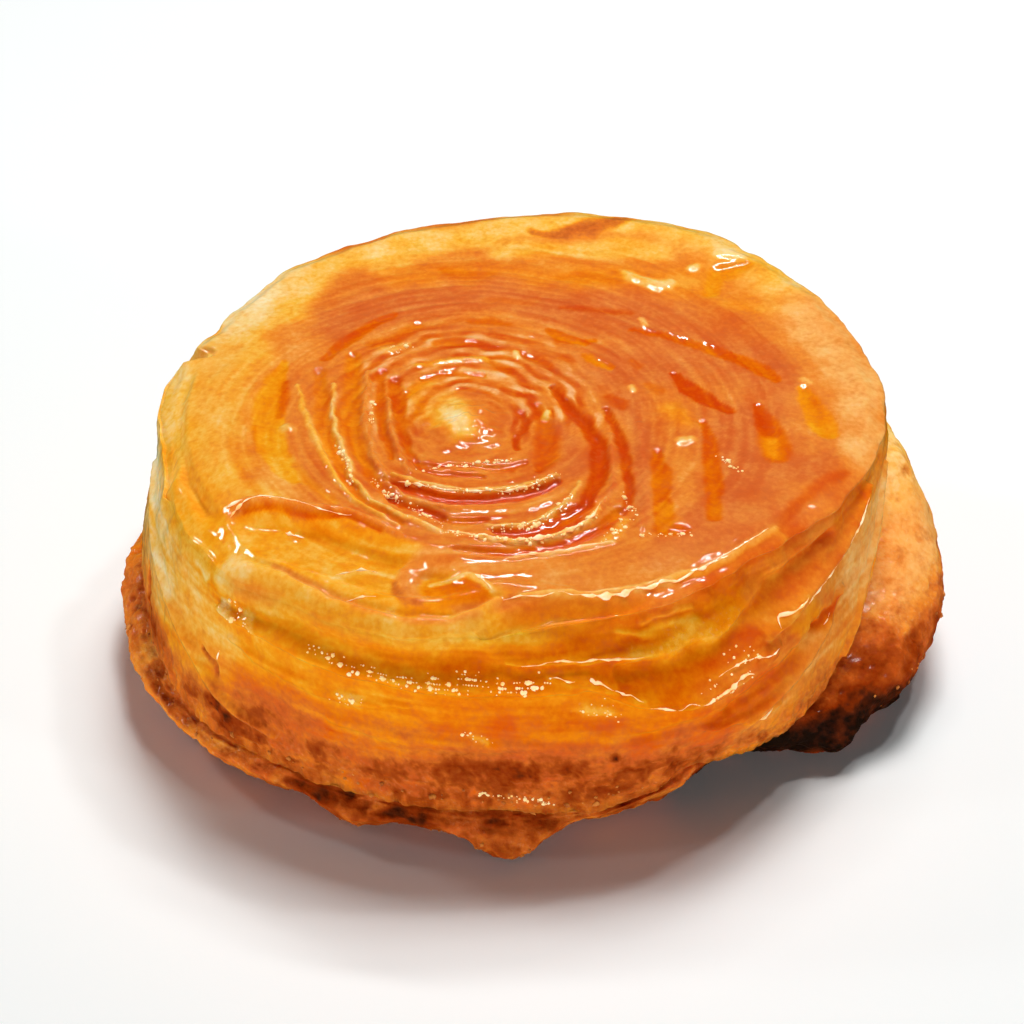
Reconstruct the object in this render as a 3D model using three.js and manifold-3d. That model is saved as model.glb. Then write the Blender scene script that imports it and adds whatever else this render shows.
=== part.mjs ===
// A kouign amann: a strip of laminated dough rolled into a coil, baked cut side down in
// caramel and turned out, so that the glazed coil faces up. It is one solid: a body with
// wavy sides, a trough where the outer turn has slipped, the strip's loose end hooked over
// the trough, and the coil's grooves and caramel pools cut into the top.
// Millimetres, +Z up. The origin is the middle of the flat spot that it rests on.
// Clock angles are in degrees, anticlockwise from +X as seen from above.
import * as THREE from "three";
import Module from "manifold-3d";

// ---- The body, from the top down ------------------------------------------------------

// Each band goes round the body in rows of [clock angle, radius, height].
const RIM = [
  [0, 43.2, 35.2], [20, 44.2, 35.4], [38, 45.4, 35.8], [58, 47.0, 36.0], [78, 46.6, 36.0],
  [98, 45.6, 35.8], [116, 45.0, 35.8], [134, 45.6, 35.4], [152, 44.2, 35.0], [164, 44.0, 34.6],
  [172, 45.4, 33.4], [185, 45.0, 33.0], [205, 45.8, 32.2], [222, 46.4, 32.0], [234, 45.4, 32.8],
  [250, 45.0, 32.8], [262, 43.0, 33.4], [273, 40.9, 34.6], [286, 40.9, 35.0], [305, 39.0, 35.0],
  [320, 38.5, 35.0], [337, 40.7, 35.0], [350, 42.7, 35.1],
];
const BROW = [
  [0, 43.8, 32.0], [60, 46.6, 31.4], [120, 45.8, 31.0], [180, 46.4, 29.0], [215, 47.2, 28.5],
  [240, 45.4, 29.2], [262, 43.0, 29.6], [285, 41.4, 30.4], [310, 39.4, 30.8], [332, 41.0, 31.4],
];
const FOLD = [
  [0, 43.9, 30.0], [60, 46.8, 25.5], [120, 46.6, 24.5], [180, 47.5, 24.0], [209, 48.2, 24.0],
  [235, 46.8, 24.0], [251, 45.4, 24.0], [264, 44.2, 23.6], [280, 44.2, 23.2], [295, 45.0, 20.8],
  [309, 44.4, 22.6], [329, 42.8, 25.4], [350, 43.4, 29.2],
];
const HEM = [
  [5, 43.6, 27.8], [20, 44.0, 28.4], [45, 45.4, 26.4], [70, 46.4, 22.0], [92, 46.4, 18.0],
  [120, 46.8, 15.0], [150, 48.0, 13.6], [180, 49.2, 13.6], [205, 49.6, 11.6], [218, 49.2, 10.0],
  [233, 46.8, 8.8], [250, 45.2, 8.4], [265, 43.6, 8.0], [280, 43.8, 7.4], [288, 44.0, 8.8],
  [295, 44.0, 11.2], [302, 44.0, 10.3], [311, 44.0, 9.8], [321, 43.8, 10.6], [331, 43.8, 14.2],
  [340, 43.6, 17.2], [352, 43.4, 21.6],
];
const SKIRT = [
  [5, 52.3, 11.2], [22, 51.4, 11.4], [45, 49.8, 11.0], [70, 48.4, 9.6], [92, 47.4, 8.6],
  [120, 48.2, 7.8], [150, 50.4, 7.8], [180, 52.2, 8.2], [202, 51.8, 7.2], [218, 50.4, 6.0],
  [233, 47.4, 5.2], [250, 45.6, 4.8], [268, 45.2, 4.4], [280, 43.4, 4.8], [292, 43.4, 7.2],
  [300, 41.4, 7.4], [308, 39.0, 5.2], [316, 42.6, 5.2], [325, 47.6, 6.6], [338, 51.4, 8.5],
  [352, 52.8, 11.6],
];
const SEAM_DEPTH = 2.4; // how far the crevice between the wrap and the base goes in
const SEAM_DROP = 1.3;
const SHOULDER = [0.66, 0.28]; // the base's puff above its widest line, as shares out and down
const UNDER_INSET = 5.5; // the underside rounds in by this much on its way to the sole
const UNDER_HEIGHT = 1.0;
const SOLE_RADIUS = 29; // the flat spot underneath
const FLOOR_GAP = 0.25; // nothing but the sole comes nearer to the ground

// ---- The top ----------------------------------------------------------------------------

const COIL_CENTRE = [-7.5, -5.8]; // the bud, off centre as rolled
const CROWN_HEIGHT = 35.3;
const EDGE_ROUND = 0.8;
const BUD = { radius: 3.2, height: 1.3 };
// A ledge at the left, where the outermost layer stops short of the top.
const LEDGE = { from: 164, to: 214, radius: 42.6, drop: 1.7 };
// The grooves that wind outwards, clockwise, between the turns of the strip. Each row is
// [radius, depth] at every twelfth of a turn from the first clock angle.
const GROOVES = [
  {
    first: 360,
    half: 1.25,
    rows: [
      [9.0, 1.7], [11.4, 1.8], [14.9, 1.9], [15.0, 1.9], [14.1, 1.9], [14.7, 1.4], [15.2, 1.1],
      [16.9, 1.1], [18.8, 1.2], [19.9, 1.3], [17.9, 0.9], [17.2, 1.4], [17.7, 1.8], [21.8, 1.9],
      [26.9, 1.9], [24.0, 1.6], [22.9, 1.0], [23.8, 1.0], [25.1, 1.0], [26.9, 1.2], [27.4, 1.3],
      [29.1, 0.8], [30.6, 1.3], [35.9, 1.5], [43.4, 0.8],
    ],
  },
  {
    first: 300,
    half: 1.2,
    rows: [
      [9.3, 0.8], [9.4, 1.4], [9.7, 1.4], [10.1, 1.3], [10.6, 1.3], [11.6, 1.1], [12.9, 1.3],
      [13.6, 1.2], [14.3, 0.9], [13.5, 1.8], [14.5, 2.0], [18.7, 2.0], [19.9, 2.0], [18.8, 1.8],
      [18.3, 1.5], [18.5, 1.2], [18.9, 1.2], [21.0, 1.1], [23.4, 1.2], [24.4, 1.0], [25.0, 1.3],
      [27.6, 1.4], [33.0, 0.6],
    ],
  },
  { first: 230, half: 0.9, rows: [[4.6, 0.7], [4.8, 1.0], [5.2, 1.0], [5.8, 1.0], [6.4, 1.0], [6.6, 0.7]] },
];
// Hollows where caramel has pooled: a line of [x, y, half width] points, and a depth.
const POOLS = [
  { line: [[27.4, 0.4, 0.9], [29.0, -5.0, 1.6], [29.8, -11.2, 2.0]], depth: 1.8 },
  { line: [[33.6, 3.4, 1.4], [35.4, -1.4, 1.7], [36.4, -6.2, 1.6]], depth: 1.8 },
  { line: [[15.2, -11.6, 1.0], [15.5, -19.0, 1.4], [15.3, -26.0, 1.5]], depth: 1.7 },
  { line: [[21.2, -8.4, 0.8], [22.0, -14.6, 1.3], [21.2, -23.8, 1.5]], depth: 1.7 },
  { line: [[17.4, 7.2, 0.8], [20.4, 2.0, 1.3], [24.6, -3.0, 0.9]], depth: 1.6 },
  { line: [[-12.0, 29.9, 1.2], [-7.0, 30.2, 1.7], [-2.0, 29.7, 1.3]], depth: 1.2 },
  { line: [[-31.2, 9.4, 1.6], [-32.6, 1.0, 2.6], [-32.6, -6.0, 2.4], [-30.4, -14.0, 1.6]], depth: 1.8 },
  { line: [[6.6, 10.0, 0.9], [10.6, 7.7, 0.8]], depth: 1.0 },
  { line: [[23.9, 32.6, 1.4], [27.4, 27.8, 2.0]], depth: 1.1 },
];

// ---- The slipped turn at the front left ----------------------------------------------------

// The trough between the coil's lip and the outer ridge: [clock angle, lip radius, radius of
// the ridge's inner edge, floor height]. It opens out of the side at the left.
const TROUGH = [
  [203, 45.6, 49.0, 31.8], [209, 42.2, 48.6, 31.6], [215, 38.0, 48.2, 31.4], [221, 34.4, 46.4, 31.2],
  [228, 32.2, 43.6, 31.0], [236, 31.4, 42.6, 31.0], [246, 31.6, 42.2, 30.8], [254, 32.8, 41.2, 30.6],
  [260, 35.4, 39.9, 31.4], [266, 37.6, 38.9, 33.2],
];
const TROUGH_WALL = 1.2;
// The strip's loose end, hooked over the trough: [x, y] points.
const HOOK = {
  line: [[-12.6, -39.4], [-14.9, -37.4], [-13.4, -34.2], [-8.0, -33.2], [-2.0, -33.9]],
  half: 1.9,
  thick: 1.5,
  middle: 34.2,
};

// ---- The side --------------------------------------------------------------------------------

// Folds of the wrap, and hollows where proud is negative: a line of [clock angle, height].
const SIDE_FOLDS = [
  {
    line: [
      [222, 26.2], [240, 25.2], [262, 24.6], [274, 24.8], [281, 24.0], [288, 21.9], [295, 20.8],
      [303, 22.0], [311, 23.8], [318, 24.2],
    ],
    half: 1.4,
    proud: 1.2,
  },
  { line: [[188, 27.0], [200, 24.0], [212, 18.5], [224, 13.0], [232, 11.0]], half: 1.5, proud: 1.1 },
  { line: [[286, 15.0], [300, 14.0], [314, 17.0], [330, 22.0]], half: 1.5, proud: 0.7 },
  { line: [[306, 25.2], [313, 26.4], [322, 27.4], [331, 28.6], [342, 31.0]], half: 1.2, proud: 0.9 },
  { line: [[232, 17.0], [250, 15.0], [268, 15.5]], half: 1.8, proud: 0.5 },
  { line: [[60, 18.5], [90, 13.5], [125, 11.0], [160, 11.0]], half: 1.5, proud: 0.8 },
  { line: [[30, 26.5], [70, 27.0], [115, 26.0], [150, 27.0]], half: 1.6, proud: 0.9 },
  { line: [[85, 30.5], [130, 21.0], [172, 19.5]], half: 1.5, proud: 0.9 },
  { line: [[282, 27.0], [300, 26.5], [318, 28.6], [334, 31.0]], half: 2.6, proud: -1.3 },
  { line: [[236, 28.0], [256, 27.6], [274, 27.6]], half: 1.8, proud: -0.5 },
  { line: [[300, 17.5], [322, 20.0]], half: 1.8, proud: -0.7 },
  { line: [[190, 11.0], [204, 10.0], [222, 9.0]], half: 1.3, proud: -1.2 },
  { line: [[334, 9.0], [356, 12.0]], half: 2.4, proud: -0.9 },
];
// Crusty tags at the foot: clock angle, half width in degrees, reach outwards, drop.
const TAGS = [
  { at: 266, half: 5.5, reach: 1.3, drop: 2.9 },
  { at: 243, half: 4.5, reach: 1.0, drop: 0.9 },
  { at: 322, half: 4.5, reach: 0.8, drop: 2.6 },
  { at: 140, half: 6.0, reach: 0.9, drop: 1.6 },
];

// ---- Mesh density ---------------------------------------------------------------------

const AROUND = 72; // segments round the body; the middle of the top has half as many
const TOP_RINGS = 24;
const COARSE_RINGS = 12; // rings round the bud with half the segments
const SIDE_ROWS = [4, 4, 7, 2, 3, 3, 2, 1]; // rows between the stations of the side
const CHANNEL_SIDES = 8;
const CHANNEL_STEP = 12; // degrees round the coil
const POOL_STEPS = 8;
const TROUGH_STEP = 3; // degrees
const SMALLEST_DETAIL = 0.03;

// ---- Helpers --------------------------------------------------------------------------

const TURN = 360;
const TWELFTH = 30;
const clamp = (x, low, high) => Math.min(high, Math.max(low, x));
const mix = (a, b, t) => a + (b - a) * t;
const ease = (a, b, x) => {
  const t = clamp((x - a) / (b - a), 0, 1);
  return t * t * (3 - 2 * t);
};
const radians = (deg) => (deg * Math.PI) / 180;
const clockOf = (x, y) => ((Math.atan2(y, x) * 180) / Math.PI + TURN) % TURN;
const turnGap = (a, b) => ((((a - b) % TURN) + 1.5 * TURN) % TURN) - TURN / 2;
const hump = (gap, half) => Math.exp(-((gap / half) ** 2));

// A cubic through four evenly spaced values, between the middle two.
function cubic(a, b, c, d, t) {
  const slopeB = (c - a) / 2;
  const slopeC = (d - b) / 2;
  const rise = c - b;
  return b + t * (slopeB + t * (3 * rise - 2 * slopeB - slopeC + t * (slopeB + slopeC - 2 * rise)));
}

// The value in one column of a band at a clock angle, all the way round.
function around(band, deg, column = 1) {
  const n = band.length;
  const next = band.findIndex((row) => row[0] > deg);
  const i = (next < 0 ? n : next) - 1;
  const a = band[(i + n) % n];
  const b = band[(i + 1) % n];
  const from = a[0] - (i < 0 ? TURN : 0);
  const to = b[0] + (i + 1 >= n ? TURN : 0);
  const t = (deg - from) / (to - from);
  return mix(a[column], b[column], (t + ease(0, 1, t)) / 2);
}

// Distance from a point to a line of points.
function distanceTo(line, x, y) {
  let best = Infinity;
  for (let i = 0; i + 1 < line.length; i++) {
    const [ax, ay] = line[i];
    const [bx, by] = line[i + 1];
    const dx = bx - ax;
    const dy = by - ay;
    const t = clamp(((x - ax) * dx + (y - ay) * dy) / (dx * dx + dy * dy), 0, 1);
    best = Math.min(best, Math.hypot(x - ax - t * dx, y - ay - t * dy));
  }
  return best;
}

// Gentle unevenness of hand-rolled dough, from -1 to 1.
function uneven(deg, along) {
  const a = radians(deg);
  return (
    0.5 * Math.sin(3 * a + 0.21 * along + 1.3) +
    0.3 * Math.sin(7 * a - 0.33 * along + 4.1) +
    0.2 * Math.sin(13 * a + 0.47 * along + 0.6)
  );
}

// ---- Closed surfaces from rings of points -------------------------------------------------

class Shell {
  constructor() {
    this.points = [];
    this.faces = [];
  }

  addRing(count, place) {
    const first = this.points.length;
    for (let i = 0; i < count; i++) this.points.push(place((i * TURN) / count));
    return { first, count };
  }

  // Joins a ring to the next one, which has as many points or twice as many.
  join(ring, next) {
    const step = next.count / ring.count;
    for (let i = 0; i < ring.count; i++) {
      const a = ring.first + i;
      const b = ring.first + ((i + 1) % ring.count);
      const c = next.first + i * step;
      const d = next.first + ((i * step + 1) % next.count);
      const e = next.first + (((i + 1) * step) % next.count);
      this.faces.push([a, c, d], [a, d, b]);
      if (step > 1) this.faces.push([b, d, e]);
    }
  }

  // Closes a ring with a fan round a point, at the start or at the end of the rings.
  cap(ring, point, atStart) {
    const middle = this.points.push(point) - 1;
    for (let i = 0; i < ring.count; i++) {
      const a = ring.first + i;
      const b = ring.first + ((i + 1) % ring.count);
      this.faces.push(atStart ? [middle, a, b] : [middle, b, a]);
    }
  }

  // Joins rings in order and closes both ends.
  close(rings, startPoint, endPoint) {
    this.cap(rings[0], startPoint, true);
    for (let k = 0; k + 1 < rings.length; k++) this.join(rings[k], rings[k + 1]);
    this.cap(rings[rings.length - 1], endPoint, false);
    return this;
  }
}

const wasm = await Module();
wasm.setup();

function solidOf(shell) {
  return new wasm.Manifold(new wasm.Mesh({
    numProp: 3,
    vertProperties: new Float32Array(shell.points.flat()),
    triVerts: new Uint32Array(shell.faces.flat()),
  }));
}

// ---- The body ---------------------------------------------------------------------------

// A point of the top: share is 0 at the bud and 1 at the rim.
function topPoint(share, deg) {
  const rim = around(RIM, deg);
  const x = mix(COIL_CENTRE[0], rim * Math.cos(radians(deg)), share);
  const y = mix(COIL_CENTRE[1], rim * Math.sin(radians(deg)), share);
  const clock = clockOf(x, y);
  const fromBud = Math.hypot(x - COIL_CENTRE[0], y - COIL_CENTRE[1]);
  const overLedge = ease(LEDGE.radius - 0.6, LEDGE.radius + 0.6, Math.hypot(x, y)) *
    ease(LEDGE.from, LEDGE.from + 4, clock) * (1 - ease(LEDGE.to - 8, LEDGE.to, clock));
  const level = mix(CROWN_HEIGHT, around(RIM, deg, 2), ease(0.8, 1, share));
  const wobble = 0.35 * uneven(deg, 14 * share) * ease(0.2, 0.6, share);
  const bud = BUD.height * hump(fromBud, BUD.radius);
  const ledge = LEDGE.drop * overLedge * (1 - ease(0.9, 0.97, share));
  return [x, y, level + wobble + bud - ledge - EDGE_ROUND * ease(0.95, 1, share)];
}

// The stations that a vertical section passes, from the rim to the sole: [radius, height].
function stations(deg) {
  const of = (band) => [around(band, deg), around(band, deg, 2)];
  const rim = [around(RIM, deg), topPoint(1, deg)[2]];
  const hem = of(HEM);
  const skirt = of(SKIRT);
  const seam = [hem[0] - SEAM_DEPTH, hem[1] - SEAM_DROP];
  const shoulder = [mix(seam[0], skirt[0], SHOULDER[0]), mix(seam[1], skirt[1], SHOULDER[1])];
  const under = [skirt[0] - UNDER_INSET, UNDER_HEIGHT];
  return [rim, of(BROW), of(FOLD), hem, seam, shoulder, skirt, under, [SOLE_RADIUS, 0]];
}

function sideRelief(deg, radius, height) {
  const arc = radians(1) * radius; // millimetres for each degree round the body
  return SIDE_FOLDS.reduce((sum, { line, half, proud }) => {
    const unrolled = line.map(([d, h]) => [turnGap(d, deg) * arc, h]);
    return sum + proud * hump(distanceTo(unrolled, 0, height), half);
  }, 0);
}

// A point of the side or underside, at a share of the way from a station to the next.
function sidePoint(station, share, deg) {
  const all = stations(deg);
  const four = [-1, 0, 1, 2].map((k) => all[clamp(station + k, 0, all.length - 1)]);
  let radius = cubic(...four.map((p) => p[0]), share);
  let height = cubic(...four.map((p) => p[1]), share);
  const place = station + share;
  const onSide = ease(0, 0.7, place) * (1 - ease(6.2, 7.2, place));
  const onFoot = ease(5.2, 6, place) * (1 - ease(6.2, 7, place));
  radius += onSide * (sideRelief(deg, radius, height) + 0.4 * uneven(deg, height));
  for (const tag of TAGS) {
    const near = onFoot * hump(turnGap(deg, tag.at), tag.half);
    radius += tag.reach * near;
    height -= tag.drop * near;
  }
  const onSole = station === all.length - 2 && share === 1;
  const z = onSole ? 0 : Math.max(height, FLOOR_GAP);
  return [radius * Math.cos(radians(deg)), radius * Math.sin(radians(deg)), z];
}

function body() {
  const shell = new Shell();
  const rings = [];
  for (let k = 1; k <= TOP_RINGS; k++) {
    const count = k <= COARSE_RINGS ? AROUND / 2 : AROUND;
    rings.push(shell.addRing(count, (deg) => topPoint(k / TOP_RINGS, deg)));
  }
  SIDE_ROWS.forEach((rows, station) => {
    for (let k = 1; k <= rows; k++) {
      rings.push(shell.addRing(AROUND, (deg) => sidePoint(station, k / rows, deg)));
    }
  });
  return solidOf(shell.close(rings, topPoint(0, 0), [0, 0, 0]));
}

// ---- What is cut from the top and laid on it ------------------------------------------------

// The height of the top at a point, found along the line from the bud through it.
function topHeight(x, y) {
  const clock = clockOf(x - COIL_CENTRE[0], y - COIL_CENTRE[1]);
  let deg = clock;
  let reach = 1;
  for (let i = 0; i < 6; i++) {
    const dx = around(RIM, deg) * Math.cos(radians(deg)) - COIL_CENTRE[0];
    const dy = around(RIM, deg) * Math.sin(radians(deg)) - COIL_CENTRE[1];
    reach = Math.hypot(dx, dy);
    deg = (deg + turnGap(clock, clockOf(dx, dy)) + TURN) % TURN;
  }
  const distance = Math.hypot(x - COIL_CENTRE[0], y - COIL_CENTRE[1]);
  return topPoint(Math.min(distance / reach, 1), deg)[2];
}

// A round bar through stops of { x, y, z, half, thick }.
function bar(stops) {
  const shell = new Shell();
  const rings = stops.map(({ x, y, z, half, thick }, i) => {
    const before = stops[Math.max(i - 1, 0)];
    const after = stops[Math.min(i + 1, stops.length - 1)];
    const length = Math.hypot(after.x - before.x, after.y - before.y);
    const side = [(after.y - before.y) / length, (before.x - after.x) / length];
    return shell.addRing(CHANNEL_SIDES, (deg) => {
      const across = half * Math.cos(radians(deg));
      return [x + across * side[0], y + across * side[1], z + thick * Math.sin(radians(deg))];
    });
  });
  const [start, end] = [stops[0], stops[stops.length - 1]];
  return solidOf(shell.close(rings, [start.x, start.y, start.z], [end.x, end.y, end.z]));
}

// The stops of a groove that winds round the coil.
function grooveStops({ first, half, rows }) {
  const stops = [];
  const row = (k) => rows[clamp(k, 0, rows.length - 1)];
  const end = (rows.length - 1) * TWELFTH;
  for (let along = 0; along <= end; along += CHANNEL_STEP) {
    const i = Math.min(Math.floor(along / TWELFTH), rows.length - 2);
    const t = along / TWELFTH - i;
    const radius = cubic(row(i - 1)[0], row(i)[0], row(i + 1)[0], row(i + 2)[0], t);
    const taper = Math.sqrt(Math.min(1, (along + 4) / 16, (end - along + 4) / 16));
    const x = COIL_CENTRE[0] + radius * Math.cos(radians(first - along));
    const y = COIL_CENTRE[1] + radius * Math.sin(radians(first - along));
    const thick = mix(row(i)[1], row(i + 1)[1], t) * taper;
    stops.push({ x, y, z: topHeight(x, y), half: half * taper, thick });
  }
  return stops;
}

// The stops of a pool, which has blunt ends.
function poolStops({ line, depth }) {
  const curve = new THREE.CatmullRomCurve3(line.map((point) => new THREE.Vector3(...point)));
  return curve.getPoints(POOL_STEPS).map(({ x, y, z: half }, i) => {
    const taper = Math.sqrt(1 - 0.9 * Math.abs((2 * i) / POOL_STEPS - 1) ** 8);
    return { x, y, z: topHeight(x, y), half: half * taper, thick: depth * taper };
  });
}

function hookStops() {
  const curve = new THREE.CatmullRomCurve3(HOOK.line.map(([x, y]) => new THREE.Vector3(x, y, 0)));
  return curve.getPoints(3 * POOL_STEPS).map(({ x, y }, i) => {
    const taper = Math.min(1, 0.6 + 0.2 * i);
    return { x, y, z: HOOK.middle, half: HOOK.half * taper, thick: HOOK.thick * taper };
  });
}

// What is taken out for the trough: a wedge from its floor up past the top.
function troughCut() {
  const clear = 2 * CROWN_HEIGHT;
  const shell = new Shell();
  const rings = [];
  const [start, end] = [TROUGH[0][0], TROUGH[TROUGH.length - 1][0]];
  for (let deg = start; deg < end; deg += TROUGH_STEP) {
    const [lip, ridge, floor] = [1, 2, 3].map((column) => around(TROUGH, deg, column));
    const width = ridge - lip;
    const wall = Math.min(TROUGH_WALL, width / 4);
    const section = [
      [lip, clear], [lip + 0.4 * wall, floor + 1.6], [lip + wall, floor + 0.2],
      [lip + width / 2, floor], [ridge - wall, floor + 0.6], [ridge, floor + 1.6], [ridge, clear],
    ];
    const [cos, sin] = [Math.cos(radians(deg)), Math.sin(radians(deg))];
    const point = (turn) => section[Math.round((turn / TURN) * section.length)];
    rings.push(shell.addRing(section.length, (turn) => {
      const [radius, z] = point(turn);
      return [radius * cos, radius * sin, z];
    }));
  }
  const middle = (ring) => {
    const ends = [shell.points[ring.first], shell.points[ring.first + ring.count - 1]];
    return [0, 1, 2].map((axis) => (ends[0][axis] + ends[1][axis]) / 2);
  };
  return solidOf(shell.close(rings, middle(rings[0]), middle(rings[rings.length - 1])));
}

function pastryGeometry() {
  let solid = body().subtract(troughCut()).add(bar(hookStops()));
  for (const stops of [...GROOVES.map(grooveStops), ...POOLS.map(poolStops)]) {
    solid = solid.subtract(bar(stops));
  }
  const mesh = solid.simplify(SMALLEST_DETAIL).getMesh();
  const geometry = new THREE.BufferGeometry();
  geometry.setAttribute("position", new THREE.BufferAttribute(mesh.vertProperties, 3));
  geometry.setIndex(new THREE.BufferAttribute(mesh.triVerts, 1));
  geometry.computeVertexNormals();
  return geometry;
}

// ---- The part ---------------------------------------------------------------------------------

const glazedCrust = new THREE.MeshStandardMaterial({ color: 0xd9761c, roughness: 0.25, metalness: 0 });

const part = new THREE.Group();
const pastry = new THREE.Mesh(pastryGeometry(), glazedCrust);
pastry.name = "pastry";
part.add(pastry);

export default part;
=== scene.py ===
"""A kouign amann: a strip of laminated dough rolled into a coil and baked in caramel.

The pastry is dressed as the baker makes it: the coil with its glazed top, the wrap that holds
it, the puffed base layer under the wrap, and the sugar and crumbs that stick to them.
All sizes are in millimetres and are turned to metres when a mesh is written. Clock angles
are in degrees, anticlockwise from +X as seen from above.
"""

import itertools
import logging
import math
from dataclasses import dataclass, field, replace
from enum import Enum, IntEnum
from typing import ClassVar

import bmesh
import bpy
import numpy as np
from mathutils import Matrix, Vector
from mathutils.kdtree import KDTree


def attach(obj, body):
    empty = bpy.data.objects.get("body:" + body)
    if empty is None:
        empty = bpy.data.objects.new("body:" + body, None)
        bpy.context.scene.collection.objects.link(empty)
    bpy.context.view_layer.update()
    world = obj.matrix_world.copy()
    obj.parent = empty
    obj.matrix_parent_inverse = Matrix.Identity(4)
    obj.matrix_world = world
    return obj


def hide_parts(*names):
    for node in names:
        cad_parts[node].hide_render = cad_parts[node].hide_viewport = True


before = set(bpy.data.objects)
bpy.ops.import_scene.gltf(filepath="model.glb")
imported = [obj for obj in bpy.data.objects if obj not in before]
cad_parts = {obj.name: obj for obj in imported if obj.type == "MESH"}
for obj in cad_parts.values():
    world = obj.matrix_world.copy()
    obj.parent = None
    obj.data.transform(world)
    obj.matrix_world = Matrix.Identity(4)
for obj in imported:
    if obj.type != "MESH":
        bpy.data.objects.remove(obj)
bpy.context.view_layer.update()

MM = 0.001  # a millimetre in metres
TURN = 360.0  # one turn of the clock in degrees
ARC_MM = 0.77  # arc on the wrap for each degree of clock angle
BODY = "root"
NODE = "pastry"
WALL_SHARE = 0.99  # from this share on, a point of a blank is on its wall
MERGE = 1e-5  # points of a blank that are closer than this are one
NOISE_SIZE = 256  # how many slopes the roughness is drawn from
NOISE_GAIN = 1.7  # brings the roughness to about -1 to 1
SEED_STEP = np.array([1.7, 3.1, 5.3])  # how far one whole seed moves the pattern
OCTAVE_STEP = 9.7  # how far each finer layer is moved
MATHS = "ShaderNodeMath"
MIX_A, MIX_B, MIX_RESULT = 6, 7, 2  # the colour sockets of a mix node, whose names are not unique
log = logging.getLogger("kouign_amann")

Array = np.ndarray
Piece = bpy.types.Object
Span = tuple[float, float]
Triple = tuple[float, float, float]
Rows = list[tuple[float, ...]]
Strokes = tuple["Stroke", ...]
Stops = tuple[tuple[float, str], ...]
Masks = dict["Mask", Array]


# ---- Small helpers ----


def smooth(low: float | Array, high: float | Array, x: Array) -> Array:
    """Rises softly from 0 at low to 1 at high.

    Args:
        low: where the rise starts.
        high: where it ends.
        x: the values to place on it.

    Returns:
        One share from 0 to 1 for each value.
    """
    t = np.clip((x - low) / (high - low), 0.0, 1.0)
    return t * t * (3.0 - 2.0 * t)


def hump(gap: Array, half: float | Array) -> Array:
    """Gives a bell that is 1 where gap is 0 and has nearly gone at twice half."""
    return np.exp(-((gap / half) ** 2))


def turn_gap(a: Array, b: float | Array) -> Array:
    """Gives the signed difference of two clock angles, from -180 to 180."""
    return (np.asarray(a) - b + 1.5 * TURN) % TURN - 0.5 * TURN


def mix(a: float | Array, b: float | Array, t: float | Array) -> Array:
    """Blends a into b by the share t."""
    return a + (b - a) * t


def cubic(a: Array, b: Array, c: Array, d: Array, t: Array) -> Array:
    """Follows a cubic through four evenly spaced values, between the middle two.

    Args:
        a: the value before the stretch.
        b: the value where it starts.
        c: the value where it ends.
        d: the value after it.
        t: the share of the way from b to c.

    Returns:
        The value at that share.
    """
    slope_b = (c - a) / 2
    slope_c = (d - b) / 2
    rise = c - b
    return b + t * (slope_b + t * (3 * rise - 2 * slope_b - slope_c + t * (slope_b + slope_c - 2 * rise)))


def near_line(line: Rows, x: Array, y: Array) -> tuple[Array, Array]:
    """Measures how far points lie from a line of points.

    Args:
        line: rows of two coordinates and the half width there; one row alone is a round spot.
        x: first coordinate of each point.
        y: second coordinate of each point.

    Returns:
        The distance of each point, and the half width at the nearest place.
    """
    best = np.full(np.shape(x), np.inf)
    width = np.ones(np.shape(x))
    for a, b in zip(line, line[1:] or line):
        dx, dy = b[0] - a[0], b[1] - a[1]
        t = np.clip(((x - a[0]) * dx + (y - a[1]) * dy) / max(dx * dx + dy * dy, 1e-9), 0.0, 1.0)
        gap = np.hypot(x - a[0] - t * dx, y - a[1] - t * dy)
        closer = gap < best
        best = np.where(closer, gap, best)
        width = np.where(closer, mix(a[2], b[2], t), width)
    return best, width


def noise_tables(seed: int) -> tuple[Array, Array]:
    """Draws what the roughness is made of.

    Args:
        seed: starts the random draws.

    Returns:
        The shuffled order, and one slope for each number in it.
    """
    draw = np.random.default_rng(seed)
    slopes = draw.normal(size=(NOISE_SIZE, 3))
    return draw.permutation(NOISE_SIZE), slopes / np.linalg.norm(slopes, axis=1)[:, None]


ORDER, SLOPES = noise_tables(11)


def rough(points: Array, size: float | Triple, seed: float, octaves: int = 1) -> Array:
    """Gives smooth random roughness at each point.

    Args:
        points: one row of three coordinates for each point, in millimetres.
        size: millimetres across one lump, one for all coordinates or one for each.
        seed: moves the pattern, so that two uses differ.
        octaves: how many finer layers are added, each half as large and half as high.

    Returns:
        One value for each point, about -1 to 1.
    """
    total = np.zeros(len(points))
    for octave in range(octaves):
        place = points / np.asarray(size) * 2.0 ** octave + seed * SEED_STEP + OCTAVE_STEP * octave
        cell = np.floor(place).astype(int)
        t = place - cell
        ease = t * t * t * (t * (t * 6 - 15) + 10)
        for corner in itertools.product((0, 1), repeat=3):
            key = np.zeros(len(points), dtype=int)
            for axis in range(3):
                key = ORDER[(key + cell[:, axis] + corner[axis]) % NOISE_SIZE]
            weight = np.where(corner, ease, 1 - ease).prod(axis=1)
            total += weight * (SLOPES[key] * (t - corner)).sum(axis=1) / 2.0 ** octave
    return NOISE_GAIN * total


def wander(points: Array, size: float, seed: float, reach: float) -> tuple[Array, Array]:
    """Gives two smooth random shifts for each point, so that what is laid has uneven edges."""
    return reach * rough(points, size, seed, 2), reach * rough(points, size, seed + 4.4, 2)


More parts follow.
